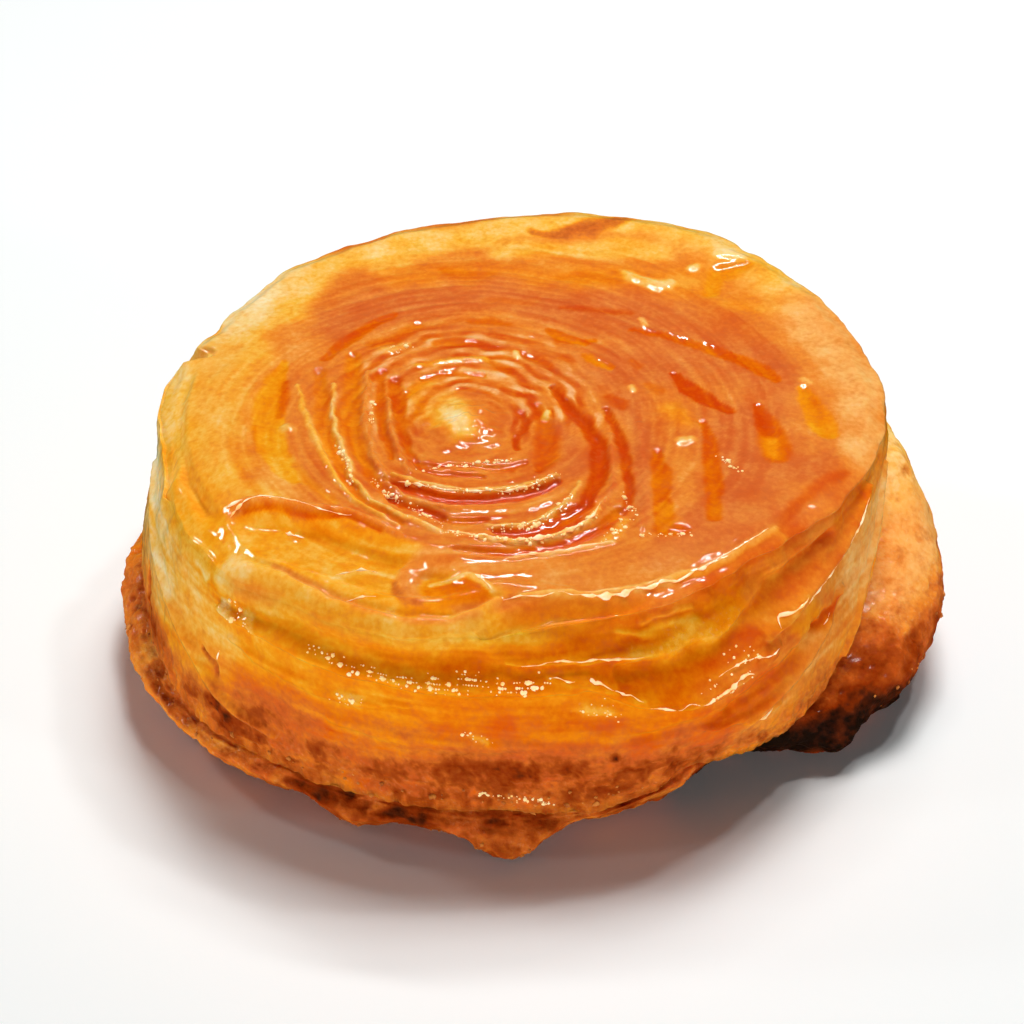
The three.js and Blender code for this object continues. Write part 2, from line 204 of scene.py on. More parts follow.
def linear(code: str) -> tuple[float, float, float, float]:
    """Turns an sRGB colour into the linear values that a shader takes.

    Args:
        code: the colour as hex, such as "d9761c".

    Returns:
        Red, green, blue and an alpha of 1.
    """
    parts = [int(code[i:i + 2], 16) / 255.0 for i in (0, 2, 4)]
    red, green, blue = (c / 12.92 if c <= 0.04045 else ((c + 0.055) / 1.055) ** 2.4 for c in parts)
    return red, green, blue, 1.0


def add_node(
    tree: bpy.types.NodeTree, kind: str, links: dict | None = None, stops: Stops = (), **settings: object
) -> bpy.types.Node:
    """Adds a node with its settings and links.

    Args:
        tree: the material's node tree.
        kind: the node's type name, such as "ShaderNodeTexNoise".
        links: for each input, by name or place, the output that feeds it or the value it holds.
        stops: the place and sRGB colour of each stop, for a node with a colour ramp.
        **settings: the node's own properties.

    Returns:
        The new node.
    """
    node = tree.nodes.new(kind)
    for name, value in settings.items():
        setattr(node, name, value)
    for name, value in (links or {}).items():
        if isinstance(value, bpy.types.NodeSocket):
            tree.links.new(value, node.inputs[name])
        else:
            node.inputs[name].default_value = value
    for _ in stops[2:]:
        node.color_ramp.elements.new(0.5)
    for element, (at, code) in zip(node.color_ramp.elements if stops else (), stops):
        element.position = at
        element.color = linear(code)
    return node


# ---- What the baker's work leaves on the dough ----


class Mask(Enum):
    """What a point of the dough carries, from 0 to 1, read by the materials."""

    CARAMEL = "caramel"
    CLOUD = "cloud"
    BAKE = "bake"
    GRAIN = "grain"


class Tone(Enum):
    """Named states of the crust, each with its value for every mask in turn."""

    CREAM = (0.00, 0.00, 0.00, 0.0)
    PALE = (0.12, 0.10, 0.00, 0.1)
    STRAW = (0.27, 0.00, 0.00, 0.1)
    YELLOW = (0.40, 0.00, 0.00, 0.0)
    AMBER = (0.52, 0.00, 0.00, 0.0)
    ORANGE = (0.68, 0.00, 0.00, 0.0)
    DEEP = (0.82, 0.00, 0.00, 0.0)
    RED = (1.00, 0.00, 0.00, 0.0)
    ROSE = (0.74, 0.95, 0.00, 0.0)
    BLUSH = (0.55, 0.55, 0.00, 0.0)
    MEMBRANE = (0.36, 0.60, 0.00, 0.0)
    RUST = (0.85, 0.00, 0.35, 0.2)
    BROWN = (0.90, 0.00, 0.62, 0.2)
    # Black: burnt crust, and painted shade where it is laid under the overhanging hem and low on the base's
    # front.
    SCORCH = (1.00, 0.00, 1.00, 0.1)


CREAM, PALE, STRAW, YELLOW, AMBER, ORANGE, DEEP, RED, ROSE, BLUSH, MEMBRANE, RUST, BROWN, SCORCH = Tone


@dataclass(frozen=True)
class Stroke:
    """A line along which the dough is raised or sunk, and coloured.

    Its rows are two coordinates and the half width there. On the top these are x and y, and
    on the side they are clock angle and height. Edge says how softly the tone ends, and brink
    how softly the rise does, both as shares of the half width.
    """

    REACH: ClassVar[float] = 2.2
    SHOULDER: ClassVar[float] = 0.75

    rows: Rows
    tone: Tone | None = None
    strength: float = 1.0
    edge: float = 0.4
    rise: float = 0.0
    grain: float = 0.0
    brink: float = 0.6

    def lay(self, x: Array, y: Array, masks: Masks) -> tuple[Array, Array]:
        """Colours the masks along the line.

        Args:
            x: first coordinate of each point.
            y: second coordinate of each point.
            masks: the masks of the same points, changed here.

        Returns:
            Which points the line reaches, and how far it raises those points.
        """
        reach = self.REACH * max(row[2] for row in self.rows)
        xs, ys = [row[0] for row in self.rows], [row[1] for row in self.rows]
        near = (x > min(xs) - reach) & (x < max(xs) + reach) & (y > min(ys) - reach) & (y < max(ys) + reach)
        gap, half = near_line(self.rows, x[near], y[near])
        across = gap / half
        share = self.strength * (1.0 - smooth(1.0 - self.edge, 1.0 + self.edge, across))
        if self.tone:
            for mask, value in zip(Mask, self.tone.value):
                masks[mask][near] = mix(masks[mask][near], value, share)
        if self.grain:
            masks[Mask.GRAIN][near] = np.maximum(masks[Mask.GRAIN][near], self.grain * share)
        low, high = self.SHOULDER - self.brink, self.SHOULDER + self.brink
        return near, self.rise * (1.0 - smooth(low, high, across))


def lay_all(strokes: Strokes, x: Array, y: Array, masks: Masks) -> Array:
    """Lays strokes one after the other.

    Args:
        strokes: the strokes, in the order in which they are laid.
        x: first coordinate of each point.
        y: second coordinate of each point.
        masks: the masks of the same points, changed here.

    Returns:
        How far each point is raised, in millimetres.
    """
    raised = np.zeros(len(x))
    for stroke in strokes:
        near, rise = stroke.lay(x, y, masks)
        raised[near] += rise
    return raised


def lay_side(strokes: Strokes, clock: Array, height: Array, masks: Masks) -> Array:
    """Lays strokes on the side, with clock angles measured as millimetres of arc.

    Args:
        strokes: the strokes, with rows of clock angle, height and half width.
        clock: clock angle of each point.
        height: height of each point.
        masks: the masks of the same points, changed here.

    Returns:
        How far each point is pushed outwards, in millimetres.
    """
    raised = np.zeros(len(clock))
    for stroke in strokes:
        first = stroke.rows[0][0]
        rows = [(turn_gap(at, first) * ARC_MM, z, half) for at, z, half in stroke.rows]
        raised += lay_all((replace(stroke, rows=rows),), turn_gap(clock, first) * ARC_MM, height, masks)
    return raised


# ---- The form of the pastry ----


@dataclass(frozen=True)
class Band:
    """A line that goes round the body in rows of clock angle, radius and height."""

    rows: Rows

    def at(self, clock: Array, column: int = 1) -> Array:
        """Reads one column of the band.

        Args:
            clock: clock angles, in degrees.
            column: which value of a row, such as 1 for the radius and 2 for the height.

        Returns:
            The value at each clock angle, all the way round.
        """
        table = np.array(self.rows)
        table = np.vstack([table[-1], table, table[0]])
        table[0, 0] -= TURN
        table[-1, 0] += TURN
        i = np.clip(np.searchsorted(table[:, 0], clock % TURN, side="right") - 1, 0, len(table) - 2)
        t = (clock % TURN - table[i, 0]) / (table[i + 1, 0] - table[i, 0])
        return mix(table[i, column], table[i + 1, column], (t + smooth(0.0, 1.0, t)) / 2)


class Station(IntEnum):
    """The lines round the body that a vertical section passes, from the rim to the sole."""

    RIM = 0
    BROW = 1
    FOLD = 2
    HEM = 3
    SEAM = 4
    SHOULDER = 5
    SKIRT = 6
    UNDER = 7
    SOLE = 8


@dataclass
class Form:
    """The shape that the coil, the wrap and the base layer share.

    Torn holds clock angles and how far the rim stands out there. The trough's rows are clock
    angle, radius of its lip, radius of its ridge and height of its floor. Each of the tags has
    a clock angle, a half width in degrees, how far it stands out and how far it hangs down.
    """

    rim: Band = Band([
        (0, 43.2, 35.2), (20, 44.2, 35.4), (38, 45.4, 35.8), (58, 47, 36), (78, 46.6, 36),
        (98, 45.6, 35.8), (116, 45, 35.8), (134, 45.6, 35.4), (152, 44.2, 35), (164, 44, 34.6),
        (172, 45.4, 33.4), (185, 45, 33), (205, 45.8, 32.2), (222, 46.4, 32), (234, 45.4, 32.8),
        (250, 45, 32.8), (262, 43, 33.4), (273, 40.9, 34.6), (286, 40.9, 35), (305, 39, 35),
        (320, 38.5, 35), (337, 40.7, 35), (350, 42.7, 35.1),
    ])
    brow: Band = Band([
        (0, 43.8, 32), (60, 46.6, 31.4), (120, 45.8, 31), (180, 46.4, 29), (215, 47.2, 28.5),
        (240, 45.4, 29.2), (262, 43, 29.6), (285, 41.4, 30.4), (310, 39.4, 30.8), (332, 41, 31.4),
    ])
    fold: Band = Band([
        (0, 43.9, 30), (60, 46.8, 25.5), (120, 46.6, 24.5), (180, 47.5, 24), (209, 48.2, 24),
        (235, 46.8, 24), (251, 45.4, 24), (264, 44.2, 23.6), (280, 44.2, 23.2), (295, 45, 20.8),
        (309, 44.4, 22.6), (329, 42.8, 25.4), (350, 43.4, 29.2),
    ])
    hem: Band = Band([
        (5, 43.6, 27.8), (20, 44, 28.4), (45, 45.4, 26.4), (70, 46.4, 22), (92, 46.4, 18),
        (120, 46.8, 15), (150, 48, 13.6), (180, 49.2, 13.6), (205, 49.6, 11.6), (218, 49.2, 10),
        (233, 46.8, 8.8), (250, 45.2, 8.4), (265, 43.6, 8), (280, 43.8, 7.4), (288, 44, 8.8),
        (295, 44, 11.2), (302, 44, 10.3), (311, 44, 9.8), (321, 43.8, 10.6), (331, 43.8, 14.2),
        (340, 43.6, 17.2), (352, 43.4, 21.6),
    ])
    skirt: Band = Band([
        (5, 52.3, 11.2), (22, 51.4, 11.4), (45, 49.8, 11), (70, 48.4, 9.6), (92, 47.4, 8.6),
        (120, 48.2, 7.8), (150, 50.4, 7.8), (180, 52.2, 8.2), (202, 51.8, 7.2), (218, 50.4, 6),
        (233, 47.4, 5.2), (250, 45.6, 4.8), (268, 45.2, 4.4), (280, 43.4, 4.8), (292, 43.4, 7.2),
        (300, 41.4, 7.4), (308, 39, 5.2), (316, 42.6, 5.2), (325, 47.6, 6.6), (338, 51.4, 8.5),
        (352, 52.8, 11.6),
    ])
    seam_depth: float = 2.4
    healed_depth: float = 0.4
    seam_drop: float = 1.3
    healed_clock: tuple[float, ...] = (165.0, 195.0, 278.0, 300.0)
    shoulder: Span = (0.66, 0.28)
    under_inset: float = 5.5
    under_height: float = 1.0
    sole_radius: float = 29.0
    floor_gap: float = 0.25
    bud: Span = (-7.5, -5.8)
    bud_radius: float = 3.2
    bud_height: float = 1.3
    crown: float = 35.3
    crown_to: float = 0.8
    edge_round: float = 0.8
    top_wobble: float = 0.35
    top_ripples: float = 14.0
    side_wobble: float = 0.4
    ledge_from: float = 164.0
    ledge_to: float = 214.0
    ledge_radius: float = 42.6
    ledge_drop: float = 1.7
    ledge_soft: float = 0.6
    tear_reach: float = 0.5
    tear_mm: float = 6.5
    fray_reach: float = 0.12
    fray_mm: float = 2.6
    torn: Rows = field(default_factory=lambda: [
        (157, 0), (160, 0.7), (162, 0.9), (163.2, -1.2), (165.2, -1.4), (166.6, 1.4), (170, 1.2), (178, 0.7),
        (188, 0),
    ])
    trough: Band = Band([
        (203, 45.6, 49, 31.8), (209, 42.2, 48.6, 31.6), (215, 38, 48.2, 31.4),
        (221, 34.4, 46.4, 31.2), (228, 32.2, 43.6, 31), (236, 31.4, 42.6, 31),
        (246, 31.6, 42.2, 31), (254, 32.8, 41.2, 31.4), (260, 35.4, 39.9, 32.2),
        (266, 37.6, 38.9, 33.6),
    ])
    tags: tuple[tuple[float, float, float, float], ...] = (
        (266, 5.5, 1.3, 2.9), (243, 4.5, 1.0, 0.9), (322, 4.5, 0.8, 2.6), (140, 6.0, 0.9, 1.6),
    )

    @staticmethod
    def uneven(clock: Array, along: Array | float) -> Array:
        """Gives the gentle unevenness of hand-rolled dough.

        Args:
            clock: clock angles.
            along: a second coordinate, which shifts the waves.

        Returns:
            One value for each point, from -1 to 1.
        """
        a = np.radians(clock)
        return (
            0.5 * np.sin(3 * a + 0.21 * along + 1.3)
            + 0.3 * np.sin(7 * a - 0.33 * along + 4.1)
            + 0.2 * np.sin(13 * a + 0.47 * along + 0.6)
        )

    def ragged(self, places: Array) -> Array:
        """Gives how far the torn edge of the rim stands out or in, in millimetres."""
        tears = self.tear_reach * rough(places * (1, 1, 0), self.tear_mm, 12.3, 3)
        return tears + self.fray_reach * rough(places, self.fray_mm, 5.7, 2)

    def spread_rim(self, places: Array, share: Array) -> Array:
        """Moves points of the rim outward or inward along its torn edge.

        Args:
            places: points of the crust.
            share: how much of the move each point takes.

        Returns:
            The moved points.
        """
        moved = places.copy()
        out = np.maximum(np.hypot(places[:, 0], places[:, 1]), 1.0)
        clock = np.degrees(np.arctan2(places[:, 1], places[:, 0])) % TURN
        torn = np.interp(clock, *np.array(self.torn).T)
        moved[:, :2] *= (1.0 + share * (self.ragged(places) + torn) / out)[:, None]
        return moved

    def top(self, share: Array, clock: Array) -> Array:
        """Places points on the smooth top.

        Args:
            share: 0 at the bud and 1 at the rim.
            clock: clock angle of the rim point that each line from the bud runs to.

        Returns:
            One row of x, y, z for each point.
        """
        rim = self.rim.at(clock)
        x = mix(self.bud[0], rim * np.cos(np.radians(clock)), share)
        y = mix(self.bud[1], rim * np.sin(np.radians(clock)), share)
        here = np.degrees(np.arctan2(y, x)) % TURN
        from_bud = np.hypot(x - self.bud[0], y - self.bud[1])
        over_ledge = (
            smooth(self.ledge_radius - self.ledge_soft, self.ledge_radius + self.ledge_soft, np.hypot(x, y))
            * smooth(self.ledge_from, self.ledge_from + 4, here)
            * (1 - smooth(self.ledge_to - 8, self.ledge_to, here))
        )
        level = mix(self.crown, self.rim.at(clock, 2), smooth(self.crown_to, 1.0, share))
        wobble = self.top_wobble * self.uneven(clock, self.top_ripples * share) * smooth(0.2, 0.6, share)
        bud = self.bud_height * hump(from_bud, self.bud_radius)
        ledge = self.ledge_drop * over_ledge * (1 - smooth(0.9, 0.97, share))
        z = level + wobble + bud - ledge - self.edge_round * smooth(0.95, 1.0, share)
        return np.column_stack([x, y, z])

    def stations(self, clock: Array) -> list[tuple[Array, Array]]:
        """Gives the vertical section at each clock angle.

        Args:
            clock: clock angles.

        Returns:
            The radius and the height of each station, in the order of Station.
        """
        rim = (self.rim.at(clock), self.top(np.ones_like(clock), clock)[:, 2])
        brow, fold, hem, skirt = (
            (band.at(clock), band.at(clock, 2)) for band in (self.brow, self.fold, self.hem, self.skirt)
        )
        healed = smooth(*self.healed_clock[:2], clock) * (1 - smooth(*self.healed_clock[2:], clock))
        seam = (hem[0] - mix(self.seam_depth, self.healed_depth, healed), hem[1] - self.seam_drop)
        out, down = self.shoulder
        shoulder = (mix(seam[0], skirt[0], out), mix(seam[1], skirt[1], down))
        under = (skirt[0] - self.under_inset, np.full_like(clock, self.under_height))
        sole = (np.full_like(clock, self.sole_radius), np.zeros_like(clock))
        return [rim, brow, fold, hem, seam, shoulder, skirt, under, sole]

    def side(self, place: Array, clock: Array) -> Array:
        """Places points on the smooth side and underside.

        Args:
            place: where each point is between the stations.
            clock: clock angles.

        Returns:
            One row of clock angle, radius and height for each point.
        """
        stations = self.stations(clock)
        last = int(Station.SOLE)
        radii = np.array([s[0] for s in stations])
        heights = np.array([s[1] for s in stations])
        i = np.clip(np.floor(place).astype(int), 0, last - 1)
        t = place - i
        columns = np.arange(len(clock))
        picks = [np.clip(i + k, 0, last) for k in (-1, 0, 1, 2)]
        radius = cubic(*(radii[p, columns] for p in picks), t)
        height = cubic(*(heights[p, columns] for p in picks), t)
        on_side = smooth(0.0, 0.7, place) * (1 - smooth(6.2, 7.2, place))
        on_foot = smooth(5.2, 6.0, place) * (1 - smooth(6.2, 7.0, place))
        radius = radius + on_side * self.side_wobble * self.uneven(clock, height)
        for at, half, reach, drop in self.tags:
            near = on_foot * hump(turn_gap(clock, at), half)
            radius = radius + reach * near
            height = height - drop * near
        height = np.where(place >= last, 0.0, np.maximum(height, self.floor_gap))
        return np.column_stack([clock, radius, height])


# ---- Pieces ----


def new_piece(name: str, batch: bmesh.types.BMesh) -> Piece:
    """Turns a bmesh into a smooth object in the scene, and frees it.

    Args:
        name: the object's name.
        batch: its points and faces.

    Returns:
        The new object.
    """
    mesh = bpy.data.meshes.new(name)
    batch.to_mesh(mesh)
    batch.free()
    mesh.shade_smooth()
    piece = bpy.data.objects.new(name, mesh)
    bpy.context.scene.collection.objects.link(piece)
    return piece


@dataclass
class Skin:
    """A closed blank rolled from a flat sheet, whose points are then moved to where the dough is.

    The blank is a can. On its lid the radius is the share from the bud to the rim, and on its
    wall the depth below the lid is the place between the stations of the side.
    """

    name: str
    lid: list[float]
    wall: list[float]
    floor: list[float]
    segments: int

    def roll(self) -> Piece:
        """Rolls the sheet into a can and puts it in the scene.

        Returns:
            The new object, still a can.
        """
        profile = [(share, self.wall[0]) for share in self.lid]
        profile += [(1.0, place) for place in self.wall]
        profile += [(share, self.wall[-1]) for share in self.floor]
        sheet = bmesh.new()
        bmesh.ops.create_grid(sheet, x_segments=self.segments, y_segments=len(profile) - 1, size=1.0)
        for vert in sheet.verts:
            column = round((vert.co.x + 1.0) / 2.0 * self.segments) % self.segments
            share, place = profile[round((vert.co.y + 1.0) / 2.0 * (len(profile) - 1))]
            turn = math.tau * column / self.segments
            vert.co = (share * math.cos(turn), share * math.sin(turn), -place)
        bmesh.ops.remove_doubles(sheet, verts=sheet.verts, dist=MERGE)
        bmesh.ops.recalc_face_normals(sheet, faces=sheet.faces)
        return new_piece(self.name, sheet)


@dataclass
class Blank:
    """A rolled can read back as numbers: where each point is on the lid, wall or floor."""

    piece: Piece
    share: Array
    clock: Array
    place: Array

    @classmethod
    def of(cls, skin: Skin) -> "Blank":
        """Rolls a skin and reads its points.

        Args:
            skin: the skin to roll.

        Returns:
            The blank.
        """
        piece = skin.roll()
        spots = read_points(piece, "co")
        clock = np.degrees(np.arctan2(spots[:, 1], spots[:, 0])) % TURN
        return cls(piece, np.hypot(spots[:, 0], spots[:, 1]), clock, -spots[:, 2])

    @property
    def walled(self) -> Array:
        """Tells which points are on the wall."""
        return self.share > WALL_SHARE

    def write(self, places: Array) -> None:
        """Moves the points to places given in millimetres."""
        self.piece.data.vertices.foreach_set("co", (places * MM).astype(np.float32).ravel())
        self.piece.data.update()

    def swell(self, places: Array, amount: Array) -> Array:
        """Moves the points along their normals.

        Args:
            places: where the points are, in millimetres.
            amount: how far each one goes outwards.

        Returns:
            The new places, already written to the mesh.
        """
        self.write(places)
        places = places + read_points(self.piece, "normal") * amount[:, None]
        self.write(places)
        return places

    def store(self, masks: Masks) -> None:
        """Stores the masks on the points.

        Args:
            masks: a value from 0 to 1 for each point, for each mask.
        """
        for mask, values in masks.items():
            layer = self.piece.data.attributes.new(mask.value, "FLOAT", "POINT")
            layer.data.foreach_set("value", np.clip(values, 0.0, 1.0).astype(np.float32))


def read_points(piece: Piece, what: str) -> Array:
    """Reads a piece's points.

    Args:
        piece: the piece.
        what: "co" for their places in metres, or "normal".

    Returns:
        One row of three numbers for each point.
    """
    values = np.empty(3 * len(piece.data.vertices), dtype=np.float32)
    if what == "normal":
        piece.data.vertex_normals.foreach_get("vector", values)
    else:
        piece.data.vertices.foreach_get(what, values)
    return values.reshape(-1, 3).astype(float)


def upright(table: Array) -> Array:
    """Turns rows of clock angle, radius and height into rows of x, y, z."""
    a = np.radians(table[:, 0])
    return np.column_stack([table[:, 1] * np.cos(a), table[:, 1] * np.sin(a), table[:, 2]])


def spread(start: float, end: float, count: int) -> list[float]:
    """Gives count evenly spaced values after start, up to end."""
    return [start + (end - start) * (k + 1) / count for k in range(count)]


def fresh_masks(count: int, tone: Tone) -> Masks:
    """Gives masks that carry one tone everywhere."""
    return {mask: np.full(count, value) for mask, value in zip(Mask, tone.value)}


class Part:
    """What every part of the dressed pastry can do."""

    @staticmethod
    def dress(piece: Piece, finish: bpy.types.Material) -> None:
        """Gives a piece its material and its place in the frame, and logs it.

        Args:
            piece: the finished piece.
            finish: its material.
        """
        piece.data.materials.append(finish)
        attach(piece, BODY)
        log.info("%s: %d faces", piece.name, len(piece.data.polygons))


@dataclass
class CoilTop(Part):
    """The glazed top of the rolled strip, with its rounded rim.

    Its strokes are laid in this order: washes of tone, then pools, grooves and ridges between
    the turns, then the pocket behind the hooked end and the lip of the trough. Band_end is the
    hooked loose end itself, in rows of x, y, half width and height.
    """

    form: Form
    washes: Strokes = (
        Stroke([(-33, 26, 4), (-36, 14, 4), (-38, 3, 4), (-38, -8, 4), (-36, -18, 3.5),
                (-31, -20, 3)], STRAW, 0.85, 0.9),
        Stroke([(-44, 10, 3.4), (-46, 0, 4.6), (-46, -6, 4.6)], STRAW, 0.95, 0.5),
        Stroke([(-46, -8, 5), (-43, -18, 5), (-38, -27, 3)], YELLOW, 0.9, 0.6),
        Stroke([(-35, -29, 2.6), (-30, -33, 2.4), (-24, -37, 2.4), (-17, -40.4, 2.6), (-10, -42.6, 2.6),
                (-5, -42.4, 1.6)], YELLOW, 0.85, 0.5),
        Stroke([(-39, 14, 2), (-37, 21, 3), (-33.5, 28, 3), (-28, 33, 2)], PALE, 0.9, 0.8),
        Stroke([(-31, 21, 2.5), (-29.5, 27, 2.5), (-24, 34, 2.6)], STRAW, 0.9, 0.8),
        Stroke([(-21, 37, 2.4), (-14, 38.5, 2)], PALE, 0.7, 0.8),
        Stroke([(-16, 28, 3), (-4, 29, 3.4), (10, 28.5, 3), (22, 28, 3.4)], AMBER, 0.6, 0.9),
        Stroke([(-20, 34, 3), (-12, 38, 3.4), (-4, 41, 3), (6, 44, 3), (18, 42, 4), (30, 34, 5),
                (36, 24, 5)], STRAW, 1, 0.9),
        Stroke([(-3, 36, 2), (6, 36, 2.6), (16, 35, 2.4)], STRAW, 0.85, 0.6),
        Stroke([(0.5, 40.6, 0.8), (5, 40.8, 1.2), (9.5, 41.2, 1.8), (13, 43.5, 1.4)], RUST, 0.75, 0.7),
        Stroke([(-11, 29.4, 1), (-7, 28.6, 2), (-5, 29.4, 1.4)], ORANGE, 0.8, 0.5, -0.12),
        Stroke([(4.5, 29, 1), (10.5, 29.2, 1.2)], DEEP, 0.5, 0.6, -0.12),
        Stroke([(12, 28.4, 1.2), (15, 27.6, 1.4), (17, 27.6, 1)], PALE, 0.75, 0.5, 0.3),
        Stroke([(21.4, 30.4, 1.1)], PALE, 0.8, 0.5, 0.3),
        Stroke([(23.8, 26.6, 1.4), (25.6, 29.4, 1.8), (27, 31.6, 1.2)], AMBER, 0.95, 0.4, -0.35),
        Stroke([(24.4, 34, 1.1), (26.2, 34.4, 0.8)], PALE, 0.7, 0.5, 0.2),
        Stroke([(26, 23, 2), (29, 21, 2)], YELLOW, 0.6, 0.8),
        Stroke([(31.8, 23, 1.4), (34, 22, 1.2)], DEEP, 0.4, 0.8),
        Stroke([(-25, 17, 3), (-17, 22.5, 3.6), (-5, 24, 4), (5, 21.5, 4.5), (14, 19, 5)], ROSE, 0.9, 0.8),
        Stroke([(9, 5, 4), (15, 9, 5.5), (21, 11, 6), (27, 6, 4)], ROSE, 0.85, 0.8),
        Stroke([(24.5, -4, 4), (26, -14, 4.6), (23.5, -24, 4), (17, -30.5, 2.4)], ROSE, 1, 0.8),
        Stroke([(30, 8, 3), (33, -8, 3.4), (32, -16, 3), (28, -23, 2.4)], ROSE, 0.8, 0.9),
        Stroke([(12, -1, 2.4), (13, -10, 1.6), (13.2, -22, 1)], ROSE, 0.85, 0.8),
        Stroke([(3, -5, 1.4), (5, -12, 1.6), (4, -17, 1.2)], ROSE, 0.7, 0.8),
        Stroke([(-12, -35, 2), (-4, -34.5, 2.4), (6, -35, 2.8), (16, -32.4, 2.8), (26, -26, 3),
                (32, -20, 2.6)], BLUSH, 0.9, 0.7),
        Stroke([(14, -33, 2), (21, -29, 2.4), (28, -23.6, 2.4)], ROSE, 0.6, 0.8),
        Stroke([(36, 20, 5), (40, 9, 4.4), (40.6, -3, 3.4), (38.6, -11, 2.6)], MEMBRANE, 0.9, 0.8),
        Stroke([(33, 12, 2), (35, 0, 2), (33, -9, 2.4)], BLUSH, 0.7, 0.9),
        Stroke([(-30, 14, 3), (-29, 4, 1.2), (-28.6, -4, 0.9)], BLUSH, 0.8, 0.8),
        Stroke([(-38, 12, 1.2), (-38.6, 4, 2), (-38, -6, 2), (-36.6, -13, 1.8)], BLUSH, 0.2, 0.9),
        Stroke([(-12.8, 2.4, 1.6), (-12.6, -1.6, 2), (-11.4, -5, 1.4)], AMBER, 0.75, 0.9),
        Stroke([(-33, -17, 2), (-28, -20, 1.6), (-20, -22, 1.2)], BLUSH, 0.6, 0.8),
        Stroke([(-8.6, -1.6, 1.6), (-8.4, -5, 2.4), (-7.6, -8.4, 2)], STRAW, 0.85, 0.9),
        Stroke([(-9, -3.6, 1), (-7.5, -7.6, 1.3)], CREAM, 0.5, 0.9, 0, 0.4),
    )
    pools: Strokes = (
        Stroke([(-30.9, 8.6, 0.4), (-31.8, 4, 1.5), (-32.1, -1, 2), (-32, -6, 2.1), (-31, -11, 1.9),
                (-29.6, -15, 1.5), (-27.8, -18, 0.6)], AMBER, 1, 0.2, -0.2),
        # Darker orange along the pool's right edge: painted shade at the step.
        Stroke([(-30.5, 4, 0.4), (-30.4, -1, 0.7), (-30.7, -4, 0.4)], DEEP, 0.8, 0.7),
        Stroke([(-29.6, -6.4, 0.8)], PALE, 0.6, 0.7, 0.3),
        Stroke([(14.8, -11.6, 0.7), (15.2, -16, 1.1), (15, -22, 1.1), (15, -27, 1.2),
                (17, -27.4, 0.9)], DEEP, 1, 0.2, -0.22),
        Stroke([(15, -23, 0.9), (15.6, -27.2, 1.2)], ORANGE, 0.8, 0.8),
        Stroke([(20.6, -5.4, 0.4), (21.4, -9, 0.7), (21.3, -14, 1.1), (21.2, -20, 1.1),
                (20.8, -25, 0.9)], DEEP, 1, 0.2, -0.22),
        Stroke([(21.2, -19, 0.8), (20.9, -24.5, 0.8)], ORANGE, 0.8, 0.8),
        Stroke([(17.7, 5.8, 0.5), (19.2, 2.8, 1.2), (21, 0.2, 1.4), (24.2, -3, 0.7)], RED, 1, 0.2, -0.21),
        Stroke([(27.7, -1.8, 0.7), (28.4, -5, 1.4), (29, -9, 1.8),
                (29.1, -12.2, 1.8)], DEEP, 1, 0.2, -0.24),
        Stroke([(28, -4, 0.8), (28.8, -7.4, 1)], RED, 0.7, 0.8),
        Stroke([(28.4, -9.5, 1.2), (28.6, -12, 1.3)], AMBER, 0.8, 0.8),
        Stroke([(33.6, 2, 0.9), (34.4, -1.5, 1.6), (35.4, -5.6, 1.9),
                (35.8, -7.2, 1.3)], AMBER, 1, 0.2, -0.24),
        Stroke([(33.8, 1.8, 0.8), (34.6, -0.6, 1)], ORANGE, 0.8, 0.8),
        Stroke([(13, 15.8, 0.5), (18, 14.4, 0.8), (22, 12.4, 1), (26, 9.4, 1.2), (28.8, 6.6, 1.3),
                (30.4, 4.2, 0.7)], DEEP, 1, 0.2, -0.17),
        Stroke([(4, 21.2, 0.4), (8, 20.8, 0.7), (13, 20, 0.5)], RED, 0.6, 0.8, -0.06),
        Stroke([(2.6, 15.6, 0.7), (4, 14, 1.2), (6.6, 13, 1), (8, 13.4, 0.5)], DEEP, 1, 0.2, -0.12),
        Stroke([(7, 9.6, 0.8), (8.6, 8, 0.9), (10, 7, 0.7)], ORANGE, 1, 0.2, -0.12),
        Stroke([(12.6, 8.6, 0.5), (13.6, 7.4, 0.6)], DEEP, 0.6, 0.6, -0.06),
        Stroke([(-7.6, 17.3, 0.6), (-5, 17.7, 0.9), (-3, 17.2, 0.6)], DEEP, 0.85, 0.6, -0.09),
        Stroke([(-12, 12.7, 0.7), (-9.4, 13, 0.8), (-7, 13, 0.4)], DEEP, 0.85, 0.6, -0.09),
        Stroke([(-26, 9, 0.6), (-23.4, 13.4, 1), (-20, 17.6, 1), (-17.6, 19.6, 0.6)], DEEP, 1, 0.2, -0.14),
        Stroke([(-20, 12.6, 0.8), (-17.6, 13.6, 1), (-14.6, 17, 0.9)], DEEP, 0.75, 0.6, -0.12),
        Stroke([(-5.6, 22.6, 0.8), (0, 22.8, 1)], DEEP, 0.4, 0.8, -0.045),
        Stroke([(9.6, 0.6, 0.6), (10.8, -1.2, 1), (11.2, -2, 0.6)], RED, 0.7, 0.6, -0.075),
        Stroke([(14.6, 3.2, 0.6), (15.6, 1.6, 0.8)], DEEP, 0.6, 0.6, -0.06),
        Stroke([(17, -2.5, 1.6), (18.6, -5.5, 1.4)], AMBER, 0.7, 0.8, 0.1),
        Stroke([(17.4, -16, 1), (18, -22, 1)], BLUSH, 0.6, 0.8, 0.1),
        Stroke([(-14, -37.4, 0.9), (-10, -38, 1.8), (-6.5, -37.6, 1.2)], ORANGE, 1, 0.2, -0.15),
    )
